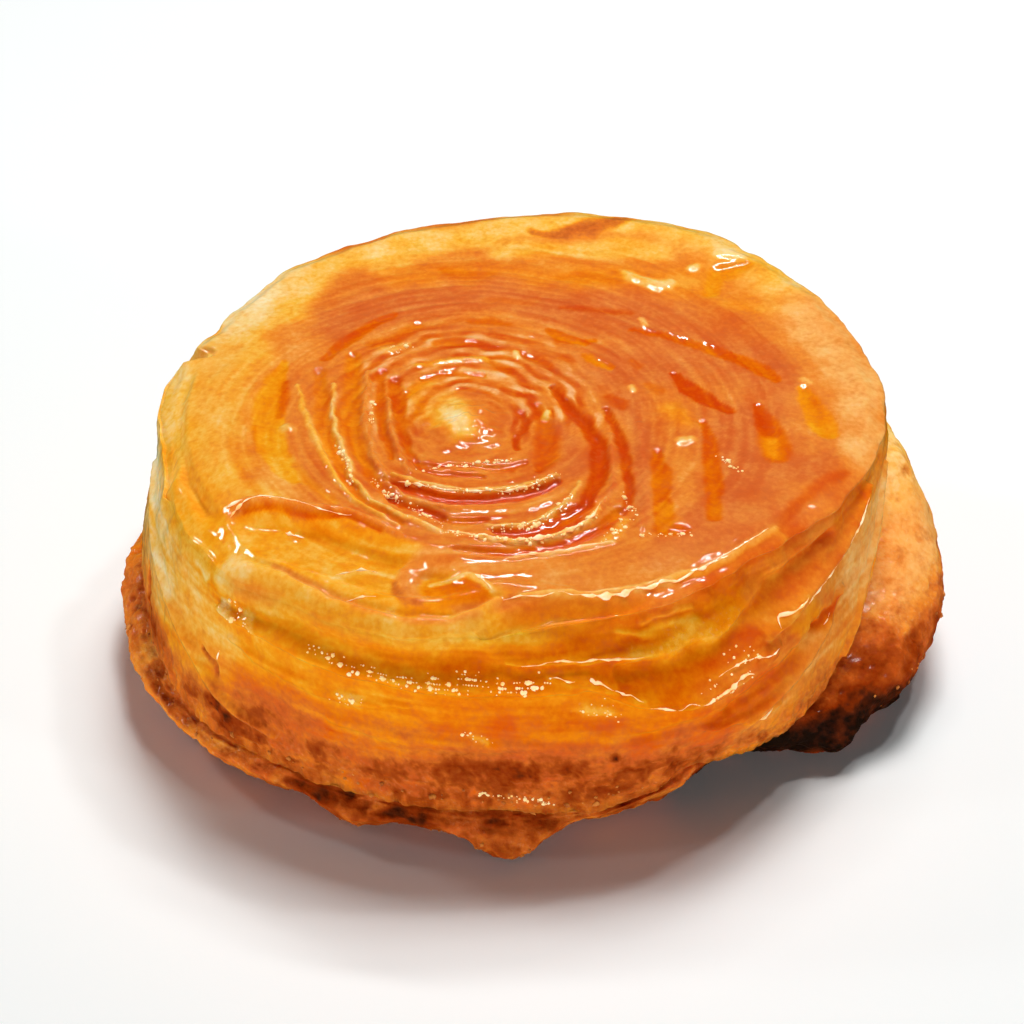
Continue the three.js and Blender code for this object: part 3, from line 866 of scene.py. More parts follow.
    grooves: Strokes = (
        Stroke([(-13.6, 4.4, 0.4), (-11.4, 5.4, 0.7), (-8.6, 5.4, 0.6),
                (-6, 5.2, 0.3)], DEEP, 0.8, 0.5, -0.2),
        Stroke([(-5.6, 8.6, 0.4), (-4, 7.4, 0.8), (-2.8, 6.2, 0.5)], DEEP, 0.7, 0.6, -0.17),
        Stroke([(-1, 9.8, 0.5), (1, 8.8, 0.8), (2.2, 7.4, 0.5)], DEEP, 0.7, 0.6, -0.17),
        Stroke([(-1.2, -3, 0.3), (-0.7, -5, 0.6), (-1, -7, 0.5), (-2, -9, 0.5),
                (-1.8, -11, 0.3)], RED, 0.8, 0.5, -0.26),
        Stroke([(-14.4, -13.6, 0.4), (-12.4, -14.4, 0.6), (-9, -14.3, 0.35), (-4.6, -15, 0.5),
                (-2.6, -14.9, 0.7), (-0.8, -14, 0.4)], DEEP, 0.8, 0.5, -0.2),
        Stroke([(-16.9, 4, 0.7), (-16.7, 0.8, 1), (-16.3, -3, 0.9), (-15.6, -7, 0.7), (-14.9, -11, 0.5),
                (-13.4, -15, 0.3), (-11, -16.2, 0.7), (-9, -16.4, 0.5),
                (-5.6, -16.6, 0.4)], DEEP, 0.85, 0.5, -0.29),
        Stroke([(-16.8, 0.5, 0.6), (-16.4, -2.4, 0.6)], RED, 0.7, 0.7),
        Stroke([(0.6, -1.4, 0.6), (1.4, -5, 1), (1.8, -9, 1.5), (1.8, -12.6, 1.4),
                (0.8, -15.4, 0.6)], DEEP, 0.85, 0.5, -0.29),
        Stroke([(-18.7, 6, 0.7), (-18.7, 1, 0.6), (-18.4, -4, 0.6), (-17.6, -9, 0.5),
                (-16.7, -13, 0.4)], DEEP, 0.85, 0.5, -0.26),
        Stroke([(-17.4, -17.4, 0.4), (-14, -19.5, 0.8), (-11, -20.9, 0.9), (-8, -21.3, 0.9),
                (-5, -21.1, 0.9), (-2, -20.5, 0.9), (0.5, -19.5, 0.8),
                (2.8, -17.8, 0.6)], RED, 0.95, 0.3, -0.49),
        Stroke([(2.4, 2.6, 0.4), (4.4, -1.4, 0.9), (6.6, -6, 1), (8, -10, 1.1), (8, -14, 1.4),
                (7.6, -18, 1), (6.2, -21, 0.8)], RED, 0.95, 0.35, -0.49),
        Stroke([(-22.4, 10, 0.9), (-22.2, 4, 1.2), (-22.2, -2, 1.3), (-21.6, -8, 1.1), (-20.2, -13, 0.9),
                (-18.6, -17.6, 0.6), (-16.4, -21.4, 0.6)], ORANGE, 0.9, 0.5, -0.32),
        Stroke([(-17, -20.6, 0.4), (-15, -22.4, 0.7), (-12.5, -23.6, 0.8),
                (-10.4, -24.6, 0.7)], RED, 0.9, 0.35, -0.43),
        Stroke([(-10.4, -24.9, 0.5), (-8, -25.7, 0.7), (-5.4, -25.4, 0.5)], DEEP, 0.9, 0.4, -0.29),
        Stroke([(-4.6, -27.4, 0.4), (-1.6, -27.7, 1), (1.6, -26.6, 1.3), (4.4, -24.4, 1.4),
                (6.2, -22, 0.9)], RED, 0.9, 0.3, -0.46),
        Stroke([(1.6, -26.6, 0.8), (4.4, -24.4, 0.9)], DEEP, 0.7, 0.7),
        Stroke([(-26.4, 6, 0.8), (-25.9, 1, 1), (-25.4, -5, 1), (-24.2, -10, 1), (-22.6, -16, 0.8),
                (-20, -21.4, 0.7), (-15, -26, 0.5)], ORANGE, 0.8, 0.5, -0.29),
        Stroke([(9.2, -2.4, 0.4), (10, -6, 0.7), (11, -10.6, 0.7), (11.2, -15, 0.6), (11.4, -20, 0.6),
                (10.6, -24, 0.5)], RED, 0.85, 0.4, -0.36),
        Stroke([(-9, -30.6, 0.3), (-6, -31.3, 0.7), (-2.8, -31.5, 0.9), (0.6, -30.8, 0.8),
                (4.6, -29.2, 0.9), (8, -26.6, 1), (10.2, -23.4, 0.6)], DEEP, 0.95, 0.3, -0.43),
        Stroke([(-5, -31.6, 0.5), (-2, -31.7, 0.6)], RED, 0.5, 0.7),
        Stroke([(-28.8, -13, 0.5), (-27, -17.4, 0.7), (-23, -21.6, 0.6)], AMBER, 0.7, 0.6, -0.2),
        # Orange line just under the trough's lip: painted shade under the lip.
        Stroke([(-34, -22.6, 0.4), (-31, -22.4, 0.6), (-26, -23.4, 0.7),
                (-20, -25.2, 0.5)], ORANGE, 0.8, 0.8),
        Stroke([(16, -35.8, 0.4), (22, -32.6, 0.7), (28, -27.4, 0.8), (30.6, -22, 0.8), (34, -17.6, 0.7),
                (37.4, -14.6, 0.4)], RED, 0.45, 0.8, -0.098),
    )
    ridges: Strokes = (
        # Pale ridge beside the left pool; its pale crest is partly a painted highlight.
        Stroke([(-28.8, 3, 0.2), (-28, -2, 0.4), (-26.8, -6, 0.5), (-25.6, -10, 0.5), (-24, -15, 0.4),
                (-22, -19.6, 0.4), (-19, -23.6, 0.4), (-15.4, -26.4, 0.3)], STRAW, 0.75, 0.7, 0.38),
        Stroke([(-24.4, 3, 0.25), (-24.3, -3, 0.4), (-23.5, -8, 0.4), (-22.2, -13, 0.4),
                (-21, -17.6, 0.4), (-18.8, -21.6, 0.4), (-15, -24.8, 0.4),
                (-10.6, -27.3, 0.4)], PALE, 0.6, 0.7, 0.38, 0.6),
        Stroke([(-20.4, 6, 0.4), (-20.3, -4, 0.5), (-19.5, -9, 0.5), (-18.5, -14, 0.45), (-17, -18, 0.45),
                (-15, -20.9, 0.4), (-12, -22.4, 0.4), (-8.6, -23, 0.35)], BLUSH, 0.8, 0.7, 0.38, 0.5),
        Stroke([(-17.6, 0, 0.25), (-17.4, -4, 0.3), (-16.7, -8, 0.3), (-15.8, -12, 0.3),
                (-14.6, -16, 0.3)], BLUSH, 0.7, 0.7, 0.29, 0.5),
        Stroke([(-9, -23.2, 0.7), (-5, -23.4, 1), (-1, -22.8, 0.9),
                (2, -21.4, 0.5)], BLUSH, 0.85, 0.5, 0.19),
        Stroke([(-16.6, -16.4, 0.3), (-13, -18.2, 0.35), (-8, -19.5, 0.4), (-3, -19.2, 0.5),
                (0, -18.2, 0.5), (2.6, -16.4, 0.4)], PALE, 0.55, 0.6, 0.29, 0.9),
        Stroke([(-6, -28.8, 0.3), (-2, -29.7, 0.45), (1.4, -29, 0.5), (4.8, -27.2, 0.4), (7, -24.8, 0.35),
                (8.4, -21.6, 0.3)], PALE, 0.65, 0.5, 0.51, 0.8),
        Stroke([(-5.2, -26.6, 0.3), (-1, -26, 0.35), (2, -24, 0.4), (4.4, -21, 0.35),
                (5.6, -18, 0.3)], PALE, 0.5, 0.6, 0.26, 0.9),
        Stroke([(9.4, -8, 0.35), (9.6, -14, 0.4), (9.4, -19, 0.4), (8, -23, 0.3)], ROSE, 0.7, 0.6, 0.32),
        Stroke([(13, -6, 0.5), (13.2, -14, 0.6), (13.2, -22, 0.6), (12.4, -27, 0.4)], ROSE, 0.5, 0.8, 0.22),
        Stroke([(8.4, -29.2, 0.6), (9.8, -27.4, 0.8), (10.8, -25.4, 0.5)], STRAW, 0.6, 0.8, 0.064, 1),
        # Pale line on the inner edge of the front band: painted highlight, over a small real rise.
        Stroke([(-3, -32.6, 0.25), (0.5, -32, 0.35), (5, -30.8, 0.35),
                (9, -29.6, 0.3)], PALE, 0.5, 0.6, 0.26),
        Stroke([(-14, 7.4, 0.6), (-10, 8.6, 0.7), (-6, 8.8, 0.6)], STRAW, 0.6, 0.7, 0.19, 0.5),
        Stroke([(-18, 11, 1.1), (-16, 12.2, 0.7)], PALE, 0.5, 0.8, 0.13, 0.8),
        Stroke([(18.2, -9.6, 1), (19, -9.2, 0.8)], PALE, 0.6, 0.5, 0.19, 0.6),
        Stroke([(12.4, 2.6, 0.5), (12.6, 1.8, 0.5)], PALE, 0.7, 0.5, 0.19),
        Stroke([(14.4, 18.4, 0.5), (14.6, 17, 0.5)], PALE, 0.6, 0.5, 0.19),
        Stroke([(-2, 10.2, 0.5), (-1.8, 9.4, 0.5)], PALE, 0.7, 0.5, 0.19),
        Stroke([(1.8, -3, 0.5), (1.8, -4, 0.5)], PALE, 0.7, 0.5, 0.19),
        Stroke([(34, 4, 0.6), (34.6, 3.4, 0.4)], PALE, 0.6, 0.6, 0.13),
    )
    lip: Strokes = (
        Stroke([(-45.4, 8.4, 3.4), (-46.2, 2, 4.2), (-45.8, -6, 4.2), (-45, -12, 3),
                (-44, -18, 1.4)], STRAW, 0.6, 0.5, -1.5, 0, 0.3),
        Stroke([(-34, -29.6, 1.4), (-31.6, -32, 1.1), (-26, -35.8, 0.9), (-20.4, -39, 0.9),
                (-14.8, -41.4, 0.9), (-9.2, -42, 0.8), (-5.9, -40.6, 0.7),
                (-4, -39.2, 0.4)], STRAW, 0.5, 0.6, 0.75),
        Stroke([(-34.6, -29.4, 1.1), (-32.6, -31.4, 0.9)], PALE, 0.7, 0.7, 0.25),
        Stroke([(-29.6, -31.6, 0.3), (-26.3, -34.2, 0.5), (-22.8, -36.6, 0.5), (-18.2, -39.4, 0.4),
                (-14, -41.2, 0.3), (-9.6, -41.8, 0.3), (-6, -41, 0.3)], BLUSH, 0.8, 0.9),
        Stroke([(-6, -42.8, 0.3), (-3, -42, 1.2), (1.3, -41.4, 2), (5.5, -41.2, 2.3), (10, -40.9, 1.9),
                (14.6, -39.6, 1)], ORANGE, 0.8, 0.5, -1.2, 0, 0.5),
        Stroke([(-6, -42.6, 1.2), (0, -42.4, 1.6), (6, -42.4, 1.2)], STRAW, 0.7, 0.8),
        Stroke([(-4.4, -37.3, 0.8), (-2, -37.8, 1.5), (1, -38, 1.4), (4, -38.2, 0.8)], None, 0, 0.9, 0.4),
        # Pale line along the band's front edge: painted highlight, over a small real rise.
        Stroke([(-1.5, -38.9, 0.3), (2.4, -38.7, 0.4), (6.8, -38.7, 0.4), (11.8, -37.7, 0.45),
                (18.7, -34, 0.5), (24, -29.9, 0.5), (28, -26, 0.4)], PALE, 0.45, 0.6, 0.3),
        Stroke([(-34.9, -22.8, 0.6), (-33.4, -21.6, 0.6), (-30, -21.6, 0.6), (-26, -22.9, 0.6),
                (-21.7, -23.4, 0.5), (-17.6, -26, 0.5), (-15.2, -28.1, 0.4)], BLUSH, 0.8, 0.6, 0.45, 0.3),
        # Thin dark orange line under the trough's lip, over a slight real dip: painted shade under the lip.
        Stroke([(-33.4, -22.6, 0.3), (-29.6, -22.7, 0.4), (-25.8, -24, 0.4), (-21.4, -24.4, 0.35),
                (-17.4, -27, 0.3)], DEEP, 0.9, 0.7, -0.2),
        Stroke([(-3.6, -35.6, 2.2), (-8, -32.2, 2), (-11.6, -31.6, 1.9), (-13.8, -33.6, 1.5),
                (-14.4, -35.8, 1.3), (-13.8, -37.4, 1.1), (-13, -38.4, 0.9)], BLUSH, 0.95),
        # Darker rust line along the left and lower edge of the hooked end: painted shade under its curled
        # tip.
        Stroke([(-15.6, -34.6, 0.3), (-15.4, -36.8, 0.5), (-14.2, -38.6, 0.5),
                (-12.8, -39, 0.4)], RUST, 0.55, 0.7),
        # Pale line round the inner edge of the pocket: painted highlight, over a small real rise.
        Stroke([(-11.6, -35.6, 0.35), (-9.8, -35.2, 0.35), (-7.4, -35.3, 0.4), (-5.6, -36.6, 0.4),
                (-4.6, -38, 0.3)], PALE, 0.8, 0.5, 0.15),
    )
    pocket: Strokes = (
        Stroke([(-5.6, -38.2, 1), (-8, -37.4, 2.1), (-10.8, -37, 1.9)], ORANGE, 1, 0.5),
        Stroke([(-14.6, -40, 0.8), (-12.4, -39.8, 1), (-9.6, -40.4, 0.7)], AMBER, 0.9, 0.6),
        Stroke([(-30, -25.4, 1.6), (-24, -26.6, 1.8), (-18, -29, 1.8), (-15.6, -32, 1.6)], AMBER, 0.45, 1),
        # Pale line at the trough's right end: painted highlight.
        Stroke([(-22.4, -34, 0.4), (-20.6, -32.6, 0.5), (-18, -32.8, 0.4),
                (-15.8, -33.4, 0.3)], PALE, 0.5, 0.8),
    )
    band_end: tuple[tuple[float, ...], ...] = (
        (-2.6, -34.6, 2.4, 34.3), (-5.4, -33.4, 2.4, 34.8), (-8, -32, 2.3, 34.8), (-11.6, -31.4, 2.1, 34.4),
        (-13.8, -33.4, 1.6, 34.2), (-14.4, -35.6, 1.2, 34), (-14, -37.2, 1, 33.8),
        (-13, -38.3, 0.8, 33.6),
    )
    lid_rings: int = 150
    lip_rings: int = 9
    floor: tuple[float, ...] = (0.97, 0.9, 0.6, 0.0)
    segments: int = 612
    lip_end: float = 0.5
    lip_tuck: float = 0.06
    floor_drop: float = 6.0
    pitch: float = 2.2
    coil_shift: float = 1.5
    coil_stretch: float = 1.2
    turns_from: Span = (3.5, 6.0)
    turns_to: Span = (14.0, 20.0)
    turns_back: Span = (-6.0, 1.0)
    turn_rise: float = 0.05
    turn_caramel: float = 0.30
    turn_cloud: float = 0.45
    base_caramel: float = 0.10
    patch_caramel: float = 0.08
    streak_caramel: float = 0.14
    streak_pitch: float = 3.2
    streak_mm: Triple = (0.9, 1.0, 1.0)
    streak_rise: float = 0.08
    lump_rise: float = 0.06
    speck_rise: float = 0.02
    crystal_rise: float = 0.16
    bud_crumple: float = 0.5
    bud_reach: float = 4.2
    torn_from: float = 0.86
    trough_walls: Span = (4.2, 2.2)
    trough_fill: float = 2.3
    trough_bank: float = 0.4
    syrup_share: float = 0.95
    plate_droop: float = 0.3
    plate_edge: Span = (0.55, 1.35)
    plate_fade: Span = (-7.5, -3.0)
    overhang: Band = Band([
        (20, 0.1, 0), (90, 0.1, 0), (200, 0.0, 0), (262, 0.0, 0), (278, 0.5, 0), (292, 1.0, 0),
        (325, 1.0, 0), (345, 0.5, 0),
    ])

    def build(self) -> Piece:
        """Makes the top and paints what it carries.

        Returns:
            The finished piece, without its material.
        """
        skin = Skin(
            "coil_top", [0.0] + spread(0.0, 1.0, self.lid_rings)[:-1],
            [0.0] + spread(0.0, self.lip_end, self.lip_rings), list(self.floor), self.segments,
        )
        blank = Blank.of(skin)
        share, clock, place = blank.share, blank.clock, blank.place
        lid = place < MERGE
        places = self.form.top(share, clock)
        masks = fresh_masks(len(share), BLUSH)
        spiral = self.streaks(places) * (1 - smooth(0.7, 0.95, share))
        turns = self.turns(places)
        masks[Mask.CARAMEL] += self.base_caramel - self.turn_caramel * turns
        masks[Mask.CLOUD] += self.turn_cloud * turns
        shift = self.relief(places, masks) - places[:, 2]
        masks[Mask.CARAMEL] += self.streak_caramel * spiral + self.patch_caramel * rough(places, 5.0, 2.0, 3)
        places[lid, 2] += shift[lid]
        table = self.form.side(place[~lid], clock[~lid])
        down = place[~lid] / self.lip_end
        edge = blank.walled[~lid]
        bulge = self.overhang.at(table[:, 0]) * np.sin(math.pi * 0.8 * down)
        bulge -= self.lip_tuck * smooth(0.4, 1.0, down)
        table[:, 1] += bulge * edge
        table[:, 1] *= np.where(edge, 1.0, share[~lid])
        table[:, 2] += np.where(edge, shift[~lid] * (1 - smooth(0.0, 1.0, down)), 0.0)
        table[:, 2] -= self.floor_drop * smooth(0.0, 0.1, 1.0 - share[~lid])
        places[~lid] = upright(table)
        amount = self.streak_rise * spiral + self.turn_rise * turns
        amount += self.lump_rise * rough(places, 3.2, 7.1, 2)
        amount += self.speck_rise * rough(places, 0.9, 3.3)
        amount += self.crystal_rise * masks[Mask.GRAIN] * rough(places, 0.55, 9.7)
        from_bud = np.hypot(*(places[:, :2] - self.form.bud).T)
        amount += self.bud_crumple * rough(places, 2.3, 6.6, 2) * hump(from_bud, self.bud_reach)
        places = self.form.spread_rim(places, smooth(self.torn_from, 1.0, share))
        blank.swell(places, amount * lid)
        blank.store(masks)
        return blank.piece

    def turns(self, places: Array) -> Array:
        """Gives the wound turns round the bud, 1 on a turn and -1 between two.

        Args:
            places: points of the top.

        Returns:
            One value for each point, which fades where the strokes draw the turns instead.
        """
        x, y, _ = (places + np.column_stack([rough(places, 5.0, seed, 2) for seed in (2.6, 7.2, 9.9)])).T
        across, back = x - self.form.bud[0], (y - self.form.bud[1] - self.coil_shift) / self.coil_stretch
        radius = np.hypot(across, back)
        phase = radius / self.pitch + np.arctan2(back, across) / math.tau
        near = smooth(*self.turns_from, radius) * (1 - smooth(*self.turns_to, radius))
        near *= smooth(*self.turns_back, back)
        broken = np.clip(0.55 + 0.9 * rough(places, 4.0, 1.4, 2), 0.0, 1.0)
        return np.clip(1.6 * np.cos(math.tau * phase), -1.0, 1.0) * near * broken

    def rim(self, clock: Array) -> tuple[Array, Masks]:
        """Gives what the strokes do to the rim, so that the wrap can join it.

        Args:
            clock: clock angles.

        Returns:
            How far the rim is raised at each of them, and its masks.
        """
        rim = self.form.top(np.ones_like(clock), clock)
        masks = fresh_masks(len(clock), BLUSH)
        masks[Mask.CARAMEL] += self.base_caramel
        return self.relief(rim, masks) - rim[:, 2], masks

    def streaks(self, places: Array) -> Array:
        """Gives the fine lines of the layers, which run along the wound strip.

        Args:
            places: points of the top.

        Returns:
            One value for each point, about -1 to 1.
        """
        x, y = places[:, 0] - self.form.bud[0], places[:, 1] - self.form.bud[1]
        radius = np.hypot(x, y)
        turn = np.arctan2(y, x)
        across = radius - self.streak_pitch * (turn / math.tau)
        along = np.column_stack([across, self.pitch * np.cos(turn), self.pitch * np.sin(turn)])
        return rough(along, self.streak_mm, 4.4, 2) * smooth(2.0, 6.0, radius)

    def relief(self, places: Array, masks: Masks) -> Array:
        """Sinks grooves, pools and trough into the top and raises ridges and the hooked end.

        Args:
            places: the smooth top's points.
            masks: their masks, changed here.

        Returns:
            The new height of each point.
        """
        x, y, z = places.T
        shift_x, shift_y = wander(places, 7.0, 3.3, 0.9)
        raised = lay_all(self.washes, x + 2 * shift_x, y + 2 * shift_y, masks)
        shift_x, shift_y = wander(places, 2.4, 6.3, 0.28)
        raised += lay_all(self.pools + self.grooves + self.ridges, x + shift_x, y + shift_y, masks)
        outer = np.hypot(x, y)
        here = np.degrees(np.arctan2(y, x)) % TURN
        lip, ridge, floor = (self.form.trough.at(here, column) for column in (1, 2, 3))
        inside = (here > self.form.trough.rows[0][0]) & (here < self.form.trough.rows[-1][0])
        wall_in = smooth(0.0, self.trough_walls[0], outer - lip)
        wall_out = smooth(0.0, self.trough_walls[1], ridge - outer)
        basin = floor + self.trough_fill + self.trough_bank * (1 - wall_out)
        basin += 0.12 * rough(places, (4.0, 4.0, 9.0), 8.8, 2)
        in_trough = np.where(inside, wall_in * wall_out, 0.0)
        syrupy = np.where(inside, smooth(0.2, 1.0, outer - lip) * smooth(-0.5, 0.8, ridge - outer), 0.0)
        for mask, value in zip(Mask, YELLOW.value):
            masks[mask] = mix(masks[mask], value, self.syrup_share * syrupy)
        masks[Mask.CARAMEL] += syrupy * 0.12 * rough(places, (5.0, 2.6, 9.0), 1.9, 2)
        pushed = lay_all(self.pocket, x, y, masks)
        height = mix(z + raised, np.minimum(z, basin), in_trough) + pushed
        height += lay_all(self.lip, x, y, masks) * (1 - in_trough)
        gap, half = near_line([row[:3] for row in self.band_end], x, y)
        _, level = near_line([(*row[:2], row[3]) for row in self.band_end], x, y)
        across = gap / half
        plate = level - self.plate_droop * np.minimum(across, 1.2) ** 2
        covered = (1 - smooth(*self.plate_edge, across)) * (1 - smooth(*self.plate_fade, x))
        return np.maximum(height, mix(height, plate, covered))


@dataclass
class Wrap(Part):
    """The outer layer of dough round the coil, down to its hem."""

    form: Form
    washes: Strokes = (
        Stroke([(150, 26, 9), (185, 24, 9), (205, 24, 8), (216, 22, 4)], STRAW, 0.9, 0.8),
        Stroke([(178, 20, 4), (196, 22, 5), (206, 25, 4), (214, 22, 4), (222, 20, 2)], MEMBRANE, 0.5, 1),
        Stroke([(182, 15, 2.4), (192, 17, 2.6), (200, 15, 2)], BLUSH, 0.6, 1),
        Stroke([(206, 20, 1.6), (214, 18, 1.8), (222, 19, 1.4)], BLUSH, 0.4, 1),
        Stroke([(172, 28, 3), (190, 28, 3.4), (200, 26, 3.4), (206, 24, 1.8)], CREAM, 0.8, 0.9),
        Stroke([(206, 26, 1.6), (214, 24, 2.6), (222, 22, 1.8)], PALE, 0.6, 1),
        Stroke([(334, 30, 2), (344, 30, 3), (352, 31, 2)], BLUSH, 0.6, 1),
        Stroke([(186, 24, 1), (198, 26, 1.4), (212, 25, 1.2)], AMBER, 0.5, 1),
        Stroke([(216, 20, 4), (236, 21, 4), (250, 21, 3)], AMBER, 0.5, 0.8),
        Stroke([(222, 31, 2), (240, 31.4, 3), (258, 31.4, 3), (270, 31.6, 2.4)], YELLOW, 0.9, 0.6),
        Stroke([(258, 28.2, 1.4), (270, 28.6, 2.4), (286, 30.4, 4), (304, 30.6, 4), (322, 31, 3.4),
                (338, 32, 2.6)], DEEP, 0.6, 0.8),
        Stroke([(262, 33, 1), (270, 32.4, 1.5), (277, 32.6, 1)], STRAW, 0.7, 0.8),
        Stroke([(252, 22, 2.6), (266, 22, 2.8), (284, 19, 3.4), (300, 19, 3.4),
                (312, 21, 3)], ORANGE, 0.75, 0.8),
        Stroke([(282, 25.6, 1.6), (296, 24, 1.6), (307, 25, 1)], DEEP, 0.8, 0.7),
        Stroke([(285, 27.8, 0.9), (295, 27.8, 1.3), (305, 28.4, 0.9)], STRAW, 0.6, 0.8, 0.1, 0.6),
        Stroke([(283, 30.6, 0.4), (290, 30, 0.5), (297, 28.8, 0.4)], STRAW, 0.7, 0.7, 0.2),
        Stroke([(287, 31.6, 0.4), (296, 30.4, 0.4)], STRAW, 0.6, 0.7, 0.2),
        Stroke([(308, 30, 1), (318, 31.6, 1.6), (330, 33, 1.2)], BLUSH, 0.5, 0.8),
        Stroke([(298, 20, 3), (314, 24, 4), (328, 27, 5)], ROSE, 0.45, 0.9),
        Stroke([(290, 13, 2.4), (312, 17, 3.4), (328, 20, 4), (338, 21, 3)], BLUSH, 0.9, 0.8),
        Stroke([(232, 29, 1.4), (246, 28.4, 2), (262, 28.2, 2), (274, 27.4, 1.6)], ORANGE, 0.4, 0.9),
        Stroke([(334, 24, 4), (345, 25, 4), (354, 27, 3)], MEMBRANE, 0.9, 0.7),
        Stroke([(330, 31.6, 0.8), (338, 33.6, 1.2), (345, 34.4, 0.8)], ORANGE, 0.8, 0.7),
        Stroke([(313, 24.4, 0.8), (318, 24, 1.6), (321, 23, 0.8)], AMBER, 0.9, 0.6, 0.1),
        Stroke([(319, 22.4, 0.8), (323, 21.4, 1.2), (327, 21.8, 0.8)], RED, 0.7, 0.5, -0.5),
        Stroke([(270, 16, 4), (284, 14.6, 3), (296, 15.6, 2.4)], DEEP, 0.6, 0.9),
        Stroke([(187, 12.6, 1.6), (197, 13.2, 2.4), (207, 13, 1.6)], RUST, 0.85, 0.8, -0.3),
        # Dark brown slit between layers at the far left: painted shade in the slit, over a real dip.
        Stroke([(195, 19.4, 0.3), (197, 16.6, 0.7), (197.6, 14.6, 0.5)], BROWN, 0.8, 0.5, -0.7),
        Stroke([(221, 12.6, 2), (226, 12.6, 2.6), (231, 12, 2.4)], BROWN, 0.7, 1, -0.1),
        Stroke([(230, 12.4, 2.6), (238, 12.2, 2.8), (247, 12, 2.2), (258, 13, 2)], RUST, 0.75, 1),
        Stroke([(240, 16.6, 1.6), (250, 15.8, 1.4), (258, 15.4, 1.2)], STRAW, 0.5, 1),
        Stroke([(236, 17, 0.7), (240, 16.8, 0.9), (245, 16.4, 0.6)], RED, 0.6, 0.8),
        Stroke([(226, 18, 2), (240, 17.4, 2.6), (256, 17, 2.8), (270, 17.4, 3)], DEEP, 0.5, 1),
        Stroke([(226, 17, 2), (240, 16.4, 2.6), (256, 16, 2.8), (270, 15.6, 3)], RUST, 0.5, 1),
        Stroke([(268, 16, 3.4), (284, 14.4, 3.6), (298, 13.6, 2.4)], RUST, 0.85, 1),
        Stroke([(266, 19, 2), (277, 18.4, 2.4), (286, 16.4, 2)], DEEP, 0.7, 1),
        Stroke([(234, 18, 0.5), (246, 17.4, 0.7), (258, 17, 0.5)], YELLOW, 0.5, 1),
        Stroke([(268, 20, 0.6), (276, 18.6, 0.8), (284, 18, 0.5)], YELLOW, 0.4, 1),
        Stroke([(286, 18.6, 1.2), (294, 19.6, 1.6), (300, 19, 1.2)], ORANGE, 0.7, 0.9),
        Stroke([(246, 10.6, 1.4), (256, 11, 2.2), (268, 11, 2.4), (278, 11, 1.8)], BROWN, 0.75, 1, -0.1),
        Stroke([(246, 10, 1.6), (256, 11, 2.4), (268, 11, 3), (280, 12, 2.4)], RUST, 0.8, 1),
        Stroke([(270, 13.4, 1.2), (276, 13.2, 1.2)], BROWN, 0.4, 1, -0.1),
        Stroke([(296, 15.4, 2), (305, 18, 2.2), (313, 20.6, 1.6)], DEEP, 0.65, 0.9),
        Stroke([(274, 14, 2), (282, 14, 2.4), (290, 13, 1.6)], BROWN, 0.3, 1),
        Stroke([(283, 15, 0.5)], SCORCH, 0.5, 1, -0.2),
        # Short dark slit at the left front: painted shade in the slit, over a real dip.
        Stroke([(220, 16.6, 0.3), (217, 19, 0.25)], RUST, 0.8, 0.5, -0.4),
        Stroke([(280, 10, 1.4), (292, 11, 2), (304, 12.6, 1.4)], BROWN, 0.35, 1),
        # Cream patch on the left shoulder: painted highlight.
        Stroke([(213, 30.4, 0.7), (215, 30.2, 1), (216, 29.6, 0.7)], CREAM, 0.85, 0.5),
        Stroke([(221.4, 28.4, 0.6), (224, 27.4, 0.5)], PALE, 0.7, 0.6, 0.2, 1),
        Stroke([(225.6, 27.8, 0.5), (227.6, 26.6, 0.4)], PALE, 0.6, 0.6, 0.2, 1),
        Stroke([(277.4, 22.8, 1), (281, 21.8, 0.8)], PALE, 0.5, 0.8, 0.2, 1),
        Stroke([(242, 22, 0.7), (245, 21.4, 0.6)], STRAW, 0.5, 0.8, 0.1, 0.8),
        Stroke([(261, 18.2, 0.6), (263, 17.8, 0.5)], PALE, 0.5, 0.8, 0.1, 0.9),
    )
